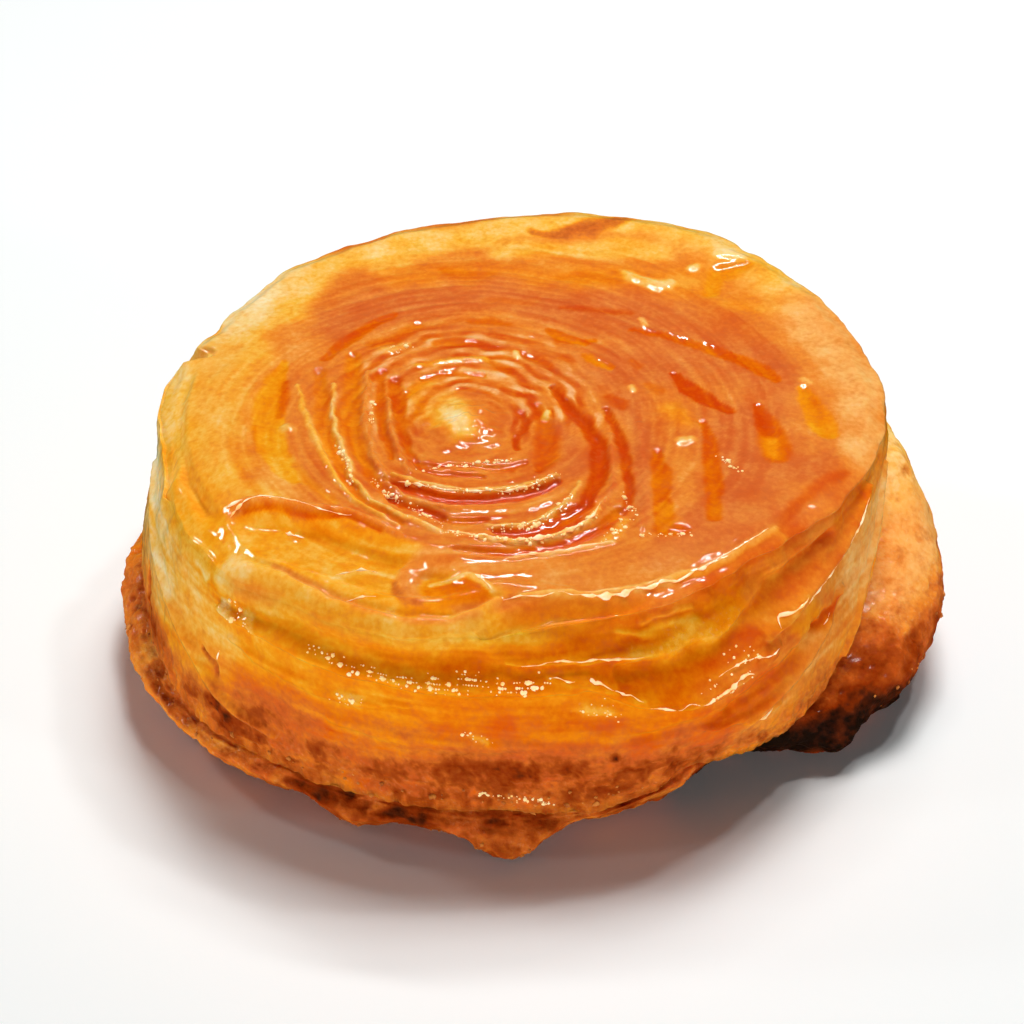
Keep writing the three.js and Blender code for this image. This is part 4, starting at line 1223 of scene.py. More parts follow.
    folds: Strokes = (
        Stroke([(221, 27.4, 0.5), (228, 26.9, 0.9), (240, 26.4, 1.1), (252, 26.1, 1.1), (262, 25.8, 1.2),
                (272, 26, 1.1), (278, 26, 0.9), (281, 25, 0.8), (285, 23.3, 0.8), (290, 22.1, 0.8),
                (296, 21.7, 0.9), (302, 22.2, 0.9), (306, 23, 0.7), (310, 23.9, 0.3)], rise=1.1),
        # Pale lines on these fold crests: painted highlight, over a real small rise.
        Stroke([(272, 27, 0.2), (276, 26.7, 0.4), (280, 25.8, 0.4),
                (286, 23.4, 0.3)], STRAW, 0.3, 0.4, 0.4),
        Stroke([(287, 22.3, 0.2), (293, 21.8, 0.4), (300, 22.4, 0.35)], STRAW, 0.3, 0.4, 0.35),
        Stroke([(297, 23.4, 0.2), (302, 24, 0.4), (309, 23.8, 0.25)], STRAW, 0.3, 0.4, 0.4, 0.5),
        Stroke([(308, 25.4, 0.3), (313, 26.3, 0.8), (320, 27.1, 0.8), (330, 28.5, 0.8), (337, 30.1, 0.7),
                (342, 31.6, 0.3)], rise=1),
        # Pale lines on these fold crests: painted highlight, over a real small rise.
        Stroke([(308, 26, 0.25), (312, 26.2, 0.5), (318, 27.4, 0.25)], STRAW, 0.3, 0.4, 0.5),
        Stroke([(266, 28.6, 0.2), (273, 28.8, 0.4), (281, 28.3, 0.4),
                (288, 27.6, 0.2)], STRAW, 0.3, 0.4, 0.4),
        Stroke([(222, 33, 0.8), (232, 33.2, 1.2), (246, 33.4, 1.2), (256, 33, 0.6)], STRAW, 0.35, 0.4, 0.5),
        Stroke([(296, 17, 0.4), (304, 16, 0.9), (312, 17.4, 1), (322, 20.4, 1.1),
                (329, 23, 0.5)], rise=0.7),
        # Pale spot on a low fold: painted highlight, over a real small rise.
        Stroke([(303, 15.4, 0.3), (307, 15.2, 0.6), (310, 15.6, 0.3)], STRAW, 0.4, 0.4, 0.5),
        Stroke([(328, 14, 0.4), (334, 17, 0.8), (341, 22, 1), (348, 27, 0.8), (352, 30, 0.4)], rise=0.6),
        Stroke([(337, 17, 0.3), (344, 20, 0.6), (352, 24, 0.5)], rise=0.4),
        Stroke([(184, 28, 0.5), (194, 25.6, 1), (204, 22, 1.2), (212, 18.2, 1.2), (221, 14.4, 0.9),
                (230, 11.8, 0.4)], STRAW, 0.3, 0.8, 0.6, 0, 0.75),
        Stroke([(240, 18.4, 0.6), (252, 17, 1.2), (262, 16.6, 1.2), (271, 17.4, 0.6)], rise=0.4),
        Stroke([(222, 23, 0.5), (232, 22, 1), (244, 21.6, 0.9), (252, 22.4, 0.4)], rise=0.3),
        Stroke([(283, 26.4, 0.8), (292, 25.4, 1.8), (302, 26, 1.4), (314, 28.8, 1.4),
                (328, 30.6, 0.7)], rise=-1.2),
        Stroke([(234, 29, 1), (248, 28.4, 1.4), (262, 28.2, 1.4), (272, 27.6, 0.6)], rise=-0.3),
        Stroke([(300, 18.6, 0.8), (312, 20.4, 1.3), (320, 22, 0.7)], rise=-0.6),
        Stroke([(285, 17.6, 0.7), (294, 18, 1.2), (300, 18.4, 0.7)], rise=-0.4),
        Stroke([(60, 18.5, 0.6), (90, 13.5, 1.3), (125, 11, 1.3), (160, 12, 0.6)], rise=0.8),
        Stroke([(30, 26.5, 0.6), (70, 27, 1.4), (115, 26, 1.4), (150, 27, 0.6)], rise=0.9),
        Stroke([(85, 30.5, 0.6), (130, 21, 1.3), (172, 19.5, 0.7)], rise=0.9),
        Stroke([(10, 31, 0.5), (40, 30.4, 1.1), (80, 31, 0.9), (120, 30, 0.5)], rise=0.5),
    )
    rings: tuple[int, ...] = (22, 18, 44)
    below_hem: tuple[float, ...] = (3.3, 3.6, 4.0)
    segments: int = 900
    start: float = 0.2
    lid_drop: float = 7.0
    browned_height: Span = (20.0, 9.0)
    crumbly_height: Span = (17.0, 9.0)
    under_lip_clock: tuple[float, ...] = (266.0, 284.0, 335.0, 350.0)
    under_lip_inset: float = 0.45
    tuck: float = 0.06
    layer_mm: Triple = (14.0, 0.8, 1.0)
    layer_rise: float = 0.035
    layer_caramel: float = 0.10
    low_caramel: float = 0.14
    low_bake: float = 0.30
    crumb_grain: float = 0.45

    def build(self, top: CoilTop) -> Piece:
        """Makes the wrap and paints what it carries.

        Args:
            top: the glazed top, whose rim the wrap follows.

        Returns:
            The finished piece, without its material.
        """
        wall = [self.start]
        for station, count in enumerate(self.rings, start=Station.RIM):
            wall += spread(max(station, self.start), station + 1, count)
        wall += self.below_hem
        blank = Blank.of(Skin("wrap", [0.0, 0.6, 0.9, 0.97], wall, [0.9, 0.6, 0.0], self.segments))
        share, place = blank.share, blank.place
        table = self.form.side(place, blank.clock)
        clock, height = table[:, 0], table[:, 2]
        skin = blank.walled.astype(float)
        masks = fresh_masks(len(share), AMBER)
        low = smooth(*self.browned_height, height + 1.6 * rough(upright(table), 5.0, 6.0, 2))
        masks[Mask.CARAMEL] += self.low_caramel * low
        masks[Mask.BAKE] += self.low_bake * low
        shift_x, shift_y = wander(upright(table), 4.0, 2.3, 1.0)
        pushed = lay_side(self.washes, clock + shift_x / ARC_MM, height + shift_y, masks)
        pushed += lay_side(self.folds, clock + 0.3 * shift_x / ARC_MM, height + 0.3 * shift_y, masks)
        on_wall = smooth(0.2, 0.7, place) * skin
        own = smooth(0.35, 1.1, place)
        rim_shift, rim_masks = top.rim(clock)
        table[:, 2] += rim_shift * (1 - smooth(0.0, top.lip_end, place)) * skin
        for mask, values in rim_masks.items():
            masks[mask] = mix(values, masks[mask], own)
        table[:, 1] += pushed * on_wall - self.inset(clock, place) * skin
        inner = ~blank.walled
        table[inner, 1] *= share[inner]
        inner_top = inner & (place < Station.BROW)
        table[inner_top, 2] -= self.lid_drop * smooth(0.0, 0.1, 1.0 - share[inner_top])
        places = upright(table)
        layers = rough(np.column_stack([clock * ARC_MM, height, height * 0]), self.layer_mm, 5.1, 2)
        streaks = self.layer_caramel * layers + 0.10 * rough(places, (4.0, 4.0, 2.5), 2.7, 3)
        masks[Mask.CARAMEL] += own * streaks
        masks[Mask.CARAMEL] += (1 - own) * top.patch_caramel * rough(places, 5.0, 2.0, 3)
        bent = places + 1.6 * np.column_stack([rough(places, 3.0, seed, 2) for seed in (1.2, 5.8, 9.4)])
        masks[Mask.BAKE] *= 1.0 + 0.75 * rough(bent, 5.0, 7.7, 2) + 0.45 * rough(bent, 1.1, 3.7, 2)
        crumbly = smooth(*self.crumbly_height, height)
        masks[Mask.GRAIN] = np.maximum(masks[Mask.GRAIN], self.crumb_grain * crumbly)
        amount = self.layer_rise * layers + (0.10 + 0.20 * crumbly) * rough(bent, 2.4, 1.1, 3)
        amount += (0.03 + 0.12 * masks[Mask.GRAIN]) * rough(bent, 0.7, 9.1)
        amount = amount * smooth(0.4, 1.0, place) * on_wall
        places = self.form.spread_rim(places, (1 - smooth(0.6, 2.0, place)) * skin)
        blank.swell(places, amount)
        blank.store(masks)
        return blank.piece

    def inset(self, clock: Array, place: Array) -> Array:
        """Steps the wrap in under the lip of the top, so that the two don't meet.

        Args:
            clock: clock angle of each point.
            place: where each point is between the stations.

        Returns:
            How far each point goes inwards, in millimetres.
        """
        start, full, ebb, end = self.under_lip_clock
        under_lip = smooth(start, full, clock) * (1 - smooth(ebb, end, clock))
        deep = self.under_lip_inset * (1 - smooth(0.3, 0.9, place)) * under_lip
        return np.maximum(deep, self.tuck * (1 - smooth(0.22, 0.5, place)))


@dataclass
class BaseLayer(Part):
    """The outermost layer of dough, puffed out of the wrap at the right and browned below."""

    form: Form
    washes: Strokes = (
        Stroke([(345, 25, 6), (0, 26, 7), (18, 26, 6)], STRAW, 1, 0.5),
        Stroke([(345, 27, 3), (355, 26, 4), (10, 27, 4)], PALE, 0.7, 0.8),
        Stroke([(334, 15, 4), (348, 17, 5), (2, 18, 5)], MEMBRANE, 0.75, 0.9),
        Stroke([(332, 8, 2.4), (345, 9, 3), (0, 9, 3), (14, 8, 2)], BROWN, 0.75, 1),
        Stroke([(334, 14, 3), (350, 17, 3), (4, 16.4, 3)], BLUSH, 0.5, 0.8),
        Stroke([(334, 11, 2), (346, 12.4, 2.4), (358, 12.4, 2.4)], RUST, 0.9, 0.8),
        Stroke([(340, 15, 2), (352, 16.4, 2.6), (2, 17, 2)], MEMBRANE, 0.8, 1),
        Stroke([(328, 10, 2), (338, 11, 2)], BROWN, 0.4, 1),
        Stroke([(330, 12.4, 2), (338, 12.4, 2)], BROWN, 0.35, 1),
        # Black under the overhanging hem at the front right: painted shadow.
        Stroke([(298, 4, 3), (306, 4.5, 4), (318, 5, 4.4), (328, 5.4, 4), (338, 4.6, 3),
                (346, 3, 2)], SCORCH, 0.95, 0.7),
        Stroke([(342, 7, 2.4), (354, 8, 2.4), (6, 8, 2)], BROWN, 0.8, 0.8),
        # Black low on the front of the base: painted shade of the underside, over a small real dip.
        Stroke([(233, 7, 0.8), (238, 6.8, 1.2), (243, 6.6, 1)], SCORCH, 0.55, 1, -0.2),
        Stroke([(248, 6, 0.8), (253, 5.6, 1.3), (258, 5, 1.4)], SCORCH, 0.65, 1, -0.2),
        Stroke([(234, 5, 1), (248, 4.6, 1), (256, 4.4, 0.8)], BROWN, 0.4, 0.8),
        Stroke([(260, 6, 2.2), (268, 5, 2.6)], RUST, 0.9, 0.8),
        Stroke([(264, 6.6, 1.4), (272, 6.4, 1.4)], BROWN, 0.4, 1),
        Stroke([(180, 9, 3), (200, 8, 3), (214, 7, 2.4), (226, 7, 1.6)], BLUSH, 0.75, 0.9),
        Stroke([(190, 5, 1.6), (206, 5, 2), (222, 4, 1.6)], RUST, 0.6, 1),
        Stroke([(184, 12, 2), (192, 11, 2.4), (198, 10, 1.6)], BROWN, 0.4, 1),
        Stroke([(200, 11, 1.4), (206, 10, 1.6)], MEMBRANE, 0.5, 1),
        # Dark brown line in the seam under the wrap's hem: browned caramel, darkened further as painted shade
        # of the gap.
        Stroke([(204, 9.4, 0.7), (216, 8.4, 0.9), (224, 8.6, 0.6)], BROWN, 0.6, 0.6, -0.4),
        Stroke([(222, 6, 1), (236, 8, 0.8), (252, 8, 0.6)], RUST, 0.6, 0.8, 0.2),
        Stroke([(276, 8, 2.4), (290, 10, 3), (304, 11, 2)], RUST, 0.9, 0.8),
        Stroke([(280, 8, 1.6), (292, 10, 2), (302, 11, 1.4)], BROWN, 0.5, 1),
    )
    rings: tuple[int, ...] = (20, 26, 22, 8)
    segments: int = 740
    lid_height: float = 16.0
    browned_height: float = 13.0
    calm_height: Span = (10.0, 18.0)
    swell: float = 0.3
    crag: float = 0.2
    pit_depth: float = 0.4
    pit_mm: Span = (3.4, 1.4)
    pit_caramel: float = 0.14
    pit_bake: float = 0.12
    low_bake: float = 0.5
    grain: float = 0.5

    def build(self) -> Piece:
        """Makes the base layer and paints what it carries.

        Returns:
            The finished piece, without its material.
        """
        wall = [float(Station.SEAM)]
        for station, count in enumerate(self.rings, start=Station.SEAM):
            wall += spread(station, station + 1, count)
        blank = Blank.of(Skin("base_layer", [0.0, 0.7], wall, [0.0], self.segments))
        share, place = blank.share, blank.place
        table = self.form.side(place, blank.clock)
        clock, height = table[:, 0], table[:, 2].copy()
        inner = ~blank.walled
        table[inner, 1] *= share[inner]
        inner_top = inner & (place < Station.SHOULDER)
        table[inner_top, 2] = mix(self.lid_height, table[inner_top, 2], share[inner_top])
        places = upright(table)
        masks = fresh_masks(len(share), AMBER)
        browned = 1.0 - smooth(0.0, self.browned_height, height + 2.4 * rough(places, 5.0, 1.0, 3))
        masks[Mask.BAKE] += self.low_bake * browned
        masks[Mask.CARAMEL] += 0.10 + 0.16 * rough(places, 4.0, 6.0, 3)
        shift_x, shift_y = wander(places, 4.0, 2.3, 1.0)
        pushed = lay_side(self.washes, clock + shift_x / ARC_MM, height + shift_y, masks)
        skirt = smooth(4.1, 4.6, place) * (1 - smooth(7.2, 7.8, place)) * blank.walled
        wide, fine = self.pit_mm
        pits = smooth(0.22, 0.75, rough(places, wide, 3.9, 3))
        pits += 0.4 * smooth(0.25, 0.6, rough(places, fine, 8.2))
        masks[Mask.CARAMEL] += self.pit_caramel * pits
        masks[Mask.BAKE] += self.pit_bake * pits + 0.20 * rough(places, 2.4, 2.9, 3)
        masks[Mask.GRAIN] = np.maximum(masks[Mask.GRAIN], self.grain)
        calm = 1.0 - 0.6 * smooth(*self.calm_height, height)
        amount = self.swell * rough(places, 5.0, 2.2, 2) + pushed
        amount += calm * (self.crag * rough(places, 1.5, 5.0, 2) - self.pit_depth * pits)
        places = blank.swell(places, amount * skirt)
        places[:, 2] = np.where(skirt > 0.01, np.maximum(places[:, 2], self.form.floor_gap), places[:, 2])
        blank.write(places)
        blank.store(masks)
        return blank.piece


# ---- Small things laid on the crust ----


class Face(Enum):
    """Which part of the crust something is laid on."""

    TOP = "top"
    SIDE = "side"


TOP, SIDE = Face


class Ground:
    """The finished crust, on which grains and threads are laid."""

    def __init__(self, hosts: tuple[Piece, ...]) -> None:
        """Reads the crust.

        Args:
            hosts: the pieces that make the crust, the glazed top first.
        """
        self.places = np.concatenate([read_points(host, "co") for host in hosts]) / MM
        self.normals = np.concatenate([read_points(host, "normal") for host in hosts])
        clock = np.degrees(np.arctan2(self.places[:, 1], self.places[:, 0])) % TURN
        radius = np.hypot(self.places[:, 0], self.places[:, 1])
        level = self.places[:, 2]
        on_top = np.arange(len(level)) < len(hosts[0].data.vertices)
        self.trees = {
            TOP: self.grow(self.places[:, 0], self.places[:, 1], on_top & (self.normals[:, 2] > 0.1)),
            SIDE: self.grow(clock * ARC_MM, level, ~on_top & (radius > 36) & (self.normals[:, 2] < 0.95)),
        }

    def grow(self, first: Array, second: Array, chosen: Array) -> KDTree:
        """Grows a search tree.

        Args:
            first: first coordinate of each point.
            second: second coordinate of each point.
            chosen: which points go into the tree.

        Returns:
            The balanced tree.
        """
        tree = KDTree(int(chosen.sum()))
        for index in np.flatnonzero(chosen).tolist():
            tree.insert((first[index], second[index], 0.0), index)
        tree.balance()
        return tree

    def spots(self, face: Face, goals: Array) -> Array:
        """Finds the nearest point of the crust for each goal.

        Args:
            face: top or side.
            goals: rows of x and y on the top, or of arc and height on the side.

        Returns:
            The number of each nearest point.
        """
        return np.array([self.trees[face].find((a, b, 0.0))[1] for a, b in goals.tolist()])


Laid = tuple[tuple[Face, Rows], ...]


def flatten(face: Face, rows: Rows) -> Array:
    """Turns the rows of a line into millimetres.

    Args:
        face: top or side; on the side, clock angles become arc.
        rows: the line.

    Returns:
        The rows as a table.
    """
    line = np.array(rows, dtype=float)
    if face is SIDE:
        line[:, 0] *= ARC_MM
    return line


@dataclass
class Scatter(Part):
    """Small grains that stick to the crust, joined in one piece.

    Its lines hold two coordinates and the half width of the strip where the grains lie.
    """

    name: str
    lines: Laid
    per_mm: float
    size: Span
    flat: float
    angular: float
    seed: int
    mostly_small: float = 2.2
    stretch: Span = (0.75, 1.3)
    sunk: float = 0.25

    def build(self, ground: Ground) -> Piece:
        """Sets the grains on the crust.

        Args:
            ground: the crust.

        Returns:
            The finished piece, without its material.
        """
        draw = np.random.default_rng(self.seed)
        found = [ground.spots(face, self.along(face, rows, draw)) for face, rows in self.lines]
        spots = np.concatenate(found)
        grain = bmesh.new()
        bmesh.ops.create_icosphere(grain, subdivisions=2, radius=1.0)
        shape = bpy.data.meshes.new("grain")
        grain.to_mesh(shape)
        grain.free()
        batch = bmesh.new()
        for _ in spots:
            batch.from_mesh(shape)
        bpy.data.meshes.remove(shape)
        piece = new_piece(self.name, batch)
        self.place(piece, ground.places[spots], ground.normals[spots], draw)
        return piece

    def along(self, face: Face, rows: Rows, draw: np.random.Generator) -> Array:
        """Draws spots along a line.

        Args:
            face: top or side.
            rows: the line.
            draw: the random draws.

        Returns:
            One row of two coordinates in millimetres for each spot.
        """
        line = flatten(face, rows)
        goals = []
        for start, end in zip(line, line[1:]):
            count = max(1, round(self.per_mm * np.hypot(*(end - start)[:2])))
            middle = mix(start, end, draw.random(count)[:, None])
            goals.append(middle[:, :2] + draw.normal(0, 0.5, (count, 2)) * middle[:, 2:])
        return np.concatenate(goals)

    def place(
        self, piece: Piece, places: Array, normals: Array, draw: np.random.Generator
    ) -> None:
        """Sizes, roughens and turns each grain and sets it on its spot.

        Args:
            piece: the joined grains, all still round and at the origin.
            places: the spot of each grain.
            normals: which way the crust faces there.
            draw: the random draws.
        """
        count = len(places)
        round_points = read_points(piece, "co").reshape(count, -1, 3)
        size = self.size[0] * (self.size[1] / self.size[0]) ** (draw.random(count) ** self.mostly_small)
        bumps = 1.0 + self.angular * draw.normal(0, 0.3, round_points.shape[:2])
        local = round_points * bumps[:, :, None] * size[:, None, None]
        local *= draw.uniform(*self.stretch, (count, 1, 3))
        local[:, :, 2] *= self.flat
        side = np.cross(normals, draw.normal(size=(count, 3)))
        side /= np.linalg.norm(side, axis=1)[:, None]
        frames = np.stack([side, np.cross(normals, side), normals], axis=1)
        turned = np.einsum("npk,nkj->npj", local, frames)
        lift = self.sunk * size * self.flat
        world = turned + (places + normals * lift[:, None])[:, None, :]
        piece.data.vertices.foreach_set("co", (world * MM).astype(np.float32).ravel())
        piece.data.update()


@dataclass
class Threads(Part):
    """Thin runs of set syrup along the edges of the layers, joined in one piece; their pale cream colour is a
    painted highlight along those edges.

    Its lines hold two coordinates and the thread's half width.
    """

    name: str
    lines: Laid
    step: float = 0.35
    around: int = 8
    lift: float = 0.25
    uneven: float = 1.1
    least: float = 0.02
    taper: Span = (-0.05, 1.2)
    sway: float = 0.15

    def build(self, ground: Ground) -> Piece:
        """Lays the threads on the crust.

        Args:
            ground: the crust.

        Returns:
            The finished piece, without its material.
        """
        batch = bmesh.new()
        rings: list[Array] = []
        for face, rows in self.lines:
            line = flatten(face, rows)
            gaps = np.hypot(*np.diff(line[:, :2], axis=0).T)
            stops = np.concatenate([[0.0], np.cumsum(gaps)])
            count = max(6, round(stops[-1] / self.step))
            along = np.linspace(0.0, stops[-1], count + 1)
            goals = np.column_stack([np.interp(along, stops, line[:, k]) for k in range(3)])
            goals[:, 1] += self.sway * rough(goals * (1, 1, 0), 1.8, 3.1)
            spots = ground.spots(face, goals[:, :2])
            path, normals = self.calm(ground.places[spots]), self.calm(ground.normals[spots])
            normals /= np.linalg.norm(normals, axis=1)[:, None]
            ends = np.minimum(along, stops[-1] - along)
            width = goals[:, 2] * smooth(*self.taper, ends)
            width *= 0.5 + self.uneven * rough(path, 1.0, 8.8, 2)
            sheet = bmesh.new()
            bmesh.ops.create_grid(sheet, x_segments=self.around, y_segments=count, size=1.0)
            tube = bpy.data.meshes.new("thread")
            sheet.to_mesh(tube)
            sheet.free()
            batch.from_mesh(tube)
            bpy.data.meshes.remove(tube)
            rings.append(self.tube(path, normals, np.maximum(width, self.least)))
        for vert, place in zip(batch.verts, np.concatenate(rings).tolist()):
            vert.co = place
        bmesh.ops.remove_doubles(batch, verts=batch.verts, dist=1e-7)
        open_ends = [edge for edge in batch.edges if edge.is_boundary]
        bmesh.ops.holes_fill(batch, edges=open_ends, sides=self.around)
        bmesh.ops.recalc_face_normals(batch, faces=batch.faces)
        return new_piece(self.name, batch)

    @staticmethod
    def calm(rows: Array) -> Array:
        """Evens out rows along a path by averaging each with its neighbours.

        Args:
            rows: one row for each step of the path.

        Returns:
            The calmer rows.
        """
        for _ in range(3):
            padded = np.vstack([rows[:1], rows, rows[-1:]])
            rows = (padded[:-2] + 2 * padded[1:-1] + padded[2:]) / 4
        return rows

    def tube(self, path: Array, normals: Array, width: Array) -> Array:
        """Gives the points of a tube round a path, in metres, one ring after the other.

        Args:
            path: the middle of each ring.
            normals: which way the crust faces there.
            width: the half width of each ring.

        Returns:
            One row of x, y, z for each point, with the first point of a ring repeated at its end.
        """
        run = np.gradient(path, axis=0)
        run /= np.linalg.norm(run, axis=1)[:, None]
        side = np.cross(run, normals)
        side /= np.linalg.norm(side, axis=1)[:, None]
        middle = path + normals * (self.lift * width)[:, None]
        turn = math.tau * (np.arange(self.around + 1) % self.around) / self.around
        sideways, upward = np.cos(turn)[None, :, None], np.sin(turn)[None, :, None]
        ring = side[:, None, :] * sideways + normals[:, None, :] * upward
        return ((middle[:, None, :] + ring * width[:, None, None]) * MM).reshape(-1, 3)


# ---- Finishes ----


@dataclass(frozen=True)
class Crust:
    """Laminated wheat dough, soaked with butter and sugar and baked in a buttered ring.

    Butter lets light a few tenths of a millimetre into the dough, so thin edges glow and
    ridges look soft. The sugar has run over it and set to a clear coat, smooth as glass, which
    gives small sharp lights on the folds. Thin caramel is yellow, and where it pooled it is
    orange to red; air and butter make it cloudy, and heat browns it down to black.
    """

    name: str
    coat: float
    coat_roughness: float
    roughness: float
    subsurface: float = 0.45
    depth_mm: float = 1.4
    grain_mm: float = 0.45
    lump_mm: float = 2.2
    mottle_mm: float = 3.6
    speckle_mm: float = 0.7
    mottle_swing: float = 0.4
    speckle_swing: float = 0.3
    lump_height: float = 0.25
    grain_height: float = 0.35
    crystal: str = "f8d493"
    caramel_stops: Stops = (
        (0.0, "ffe6b4"), (0.15, "ffd284"), (0.3, "fdb944"), (0.42, "faa41a"), (0.55, "f48c08"),
        (0.7, "ea7402"), (0.85, "e05802"), (1.0, "d64202"),
    )
    cloud_stops: Stops = (
        (0.0, "ffd8ac"), (0.36, "f8b274"), (0.55, "ea8c42"), (0.76, "da682c"), (1.0, "c8481a"),
    )
    bake_stops: Stops = (
        (0.0, "e8924a"), (0.2, "cc7036"), (0.4, "b45016"), (0.62, "943406"), (0.8, "58210a"), (1.0, "1e110a"),
    )

    def material(self) -> bpy.types.Material:
        """Builds the node material.

        Returns:
            The material, which reads the masks that the pieces carry.
        """
        made = bpy.data.materials.new(self.name)
        made.use_nodes = True
        tree = made.node_tree
        tree.nodes.clear()
        place = add_node(tree, "ShaderNodeTexCoord").outputs["Object"]
        masks = {
            mask: add_node(tree, "ShaderNodeAttribute", attribute_name=mask.value).outputs["Fac"]
            for mask in Mask
        }
        mottle, speckle, crystals, lumps = (
            add_node(tree, "ShaderNodeTexNoise", {
                "Vector": place, "Scale": 1 / (size * MM), "Detail": detail, "Roughness": harshness,
            }).outputs["Fac"]
            for size, detail, harshness in (
                (self.mottle_mm, 8.0, 0.7), (self.speckle_mm, 3.0, 0.5), (self.grain_mm, 2.0, 0.5),
                (self.lump_mm, 3.0, 0.5),
            )
        )
        shifts = []
        for noise, swing in ((mottle, self.mottle_swing), (speckle, self.speckle_swing)):
            centred = add_node(tree, MATHS, {0: noise, 1: 0.5}, operation="SUBTRACT").outputs[0]
            shifts.append(add_node(tree, MATHS, {0: centred, 1: swing}, operation="MULTIPLY").outputs[0])
        shift = add_node(tree, MATHS, dict(enumerate(shifts)), operation="ADD").outputs[0]
        depth, baked = (
            add_node(tree, MATHS, {0: masks[mask], 1: shift}, operation="ADD").outputs[0]
            for mask in (Mask.CARAMEL, Mask.BAKE)
        )
        clear, milky, brown = (
            add_node(tree, "ShaderNodeValToRGB", {"Fac": value}, stops).outputs["Color"]
            for value, stops in (
                (depth, self.caramel_stops), (depth, self.cloud_stops), (baked, self.bake_stops),
            )
        )
        browned, bright = (
            add_node(tree, "ShaderNodeMapRange", {
                "Value": value, "From Min": low, "From Max": high, "To Max": most,
            }).outputs["Result"]
            for value, low, high, most in ((baked, 0.02, 0.45, 1.0), (crystals, 0.55, 0.75, 0.55))
        )
        clean = add_node(tree, MATHS, {0: 1.0, 1: browned}, operation="SUBTRACT").outputs[0]
        for weight in (masks[Mask.GRAIN], clean):
            bright = add_node(tree, MATHS, {0: bright, 1: weight}, operation="MULTIPLY").outputs[0]
        colour = clear
        for share, over in ((masks[Mask.CLOUD], milky), (browned, brown), (bright, linear(self.crystal))):
            colour = add_node(
                tree, "ShaderNodeMix", {0: share, MIX_A: colour, MIX_B: over}, data_type="RGBA"
            ).outputs[MIX_RESULT]
        grains = add_node(tree, MATHS, {0: crystals, 1: masks[Mask.GRAIN]}, operation="MULTIPLY").outputs[0]
        soft = add_node(tree, "ShaderNodeBump", {
            "Height": lumps, "Distance": self.lump_height * MM, "Strength": 0.5,
        }).outputs["Normal"]
        bump = add_node(tree, "ShaderNodeBump", {
            "Height": grains, "Distance": self.grain_height * MM, "Strength": 0.8, "Normal": soft,
        }).outputs["Normal"]
        shader = add_node(tree, "ShaderNodeBsdfPrincipled", {
            "Base Color": colour, "Roughness": self.roughness, "IOR": 1.45, "Normal": bump,
            "Coat Weight": self.coat, "Coat Roughness": self.coat_roughness, "Coat IOR": 1.6,
            "Specular IOR Level": 0.03,
            "Subsurface Weight": self.subsurface, "Subsurface Radius": (1.0, 0.42, 0.14),
            "Subsurface Scale": self.depth_mm * MM,
        })
        add_node(tree, "ShaderNodeOutputMaterial", {"Surface": shader.outputs["BSDF"]})
        return made


@dataclass(frozen=True)
class Grain:
    """A small hard thing: half-melted sugar, a crumb of crust or a run of set syrup.

    Sugar and syrup are clear and full of light, which a painted glow of their own colour stands
    for, as they are no lamp; a crumb is dry and dull.
    """

    name: str
    pale: str
    dark: str
    roughness: float
    coat: float
    glow: float = 0.0
    mottle_mm: float = 1.3

    def material(self) -> bpy.types.Material:
        """Builds the node material, whose colour differs from grain to grain.

        Returns:
            The material.
        """
        made = bpy.data.materials.new(self.name)
        made.use_nodes = True
        tree = made.node_tree
        shader = tree.nodes["Principled BSDF"]
        place = add_node(tree, "ShaderNodeTexCoord").outputs["Object"]
        noise = add_node(tree, "ShaderNodeTexNoise", {
            "Vector": place, "Scale": 1 / (self.mottle_mm * MM), "Detail": 3.0,
        }).outputs["Fac"]
        stops = ((0.3, self.pale), (0.7, self.dark))
        colour = add_node(tree, "ShaderNodeValToRGB", {"Fac": noise}, stops).outputs["Color"]
        tree.links.new(colour, shader.inputs["Base Color"])
        # Emission in the grain's own colour: a painted glow.
        tree.links.new(colour, shader.inputs["Emission Color"])
        for name, value in (
            ("Roughness", self.roughness), ("Coat Weight", self.coat), ("Coat Roughness", 0.08),
            ("Emission Strength", self.glow),
        ):
            shader.inputs[name].default_value = value
        return made


# ---- Studio ----


@dataclass(frozen=True)
class Lamp:
    """A soft panel that faces the pastry."""

    name: str
    place: Triple
    width: float
    height: float
    watts: float
    mirrored: bool = False
    aim: Triple = (0.0, 0.0, 25.0)

    def build(self) -> None:
        """Hangs the lamp and turns it to the pastry."""
        light = bpy.data.lights.new(self.name, "AREA")
        light.shape = "RECTANGLE"
        light.size = self.width * MM
        light.size_y = self.height * MM
        light.energy = self.watts
        lamp = bpy.data.objects.new(self.name, light)
        place = Vector(self.place) * MM
        away = Vector(self.aim) * MM - place
        lamp.matrix_world = Matrix.Translation(place) @ away.to_track_quat("-Z", "Y").to_matrix().to_4x4()
        lamp.visible_glossy = self.mirrored
        bpy.context.scene.collection.objects.link(lamp)


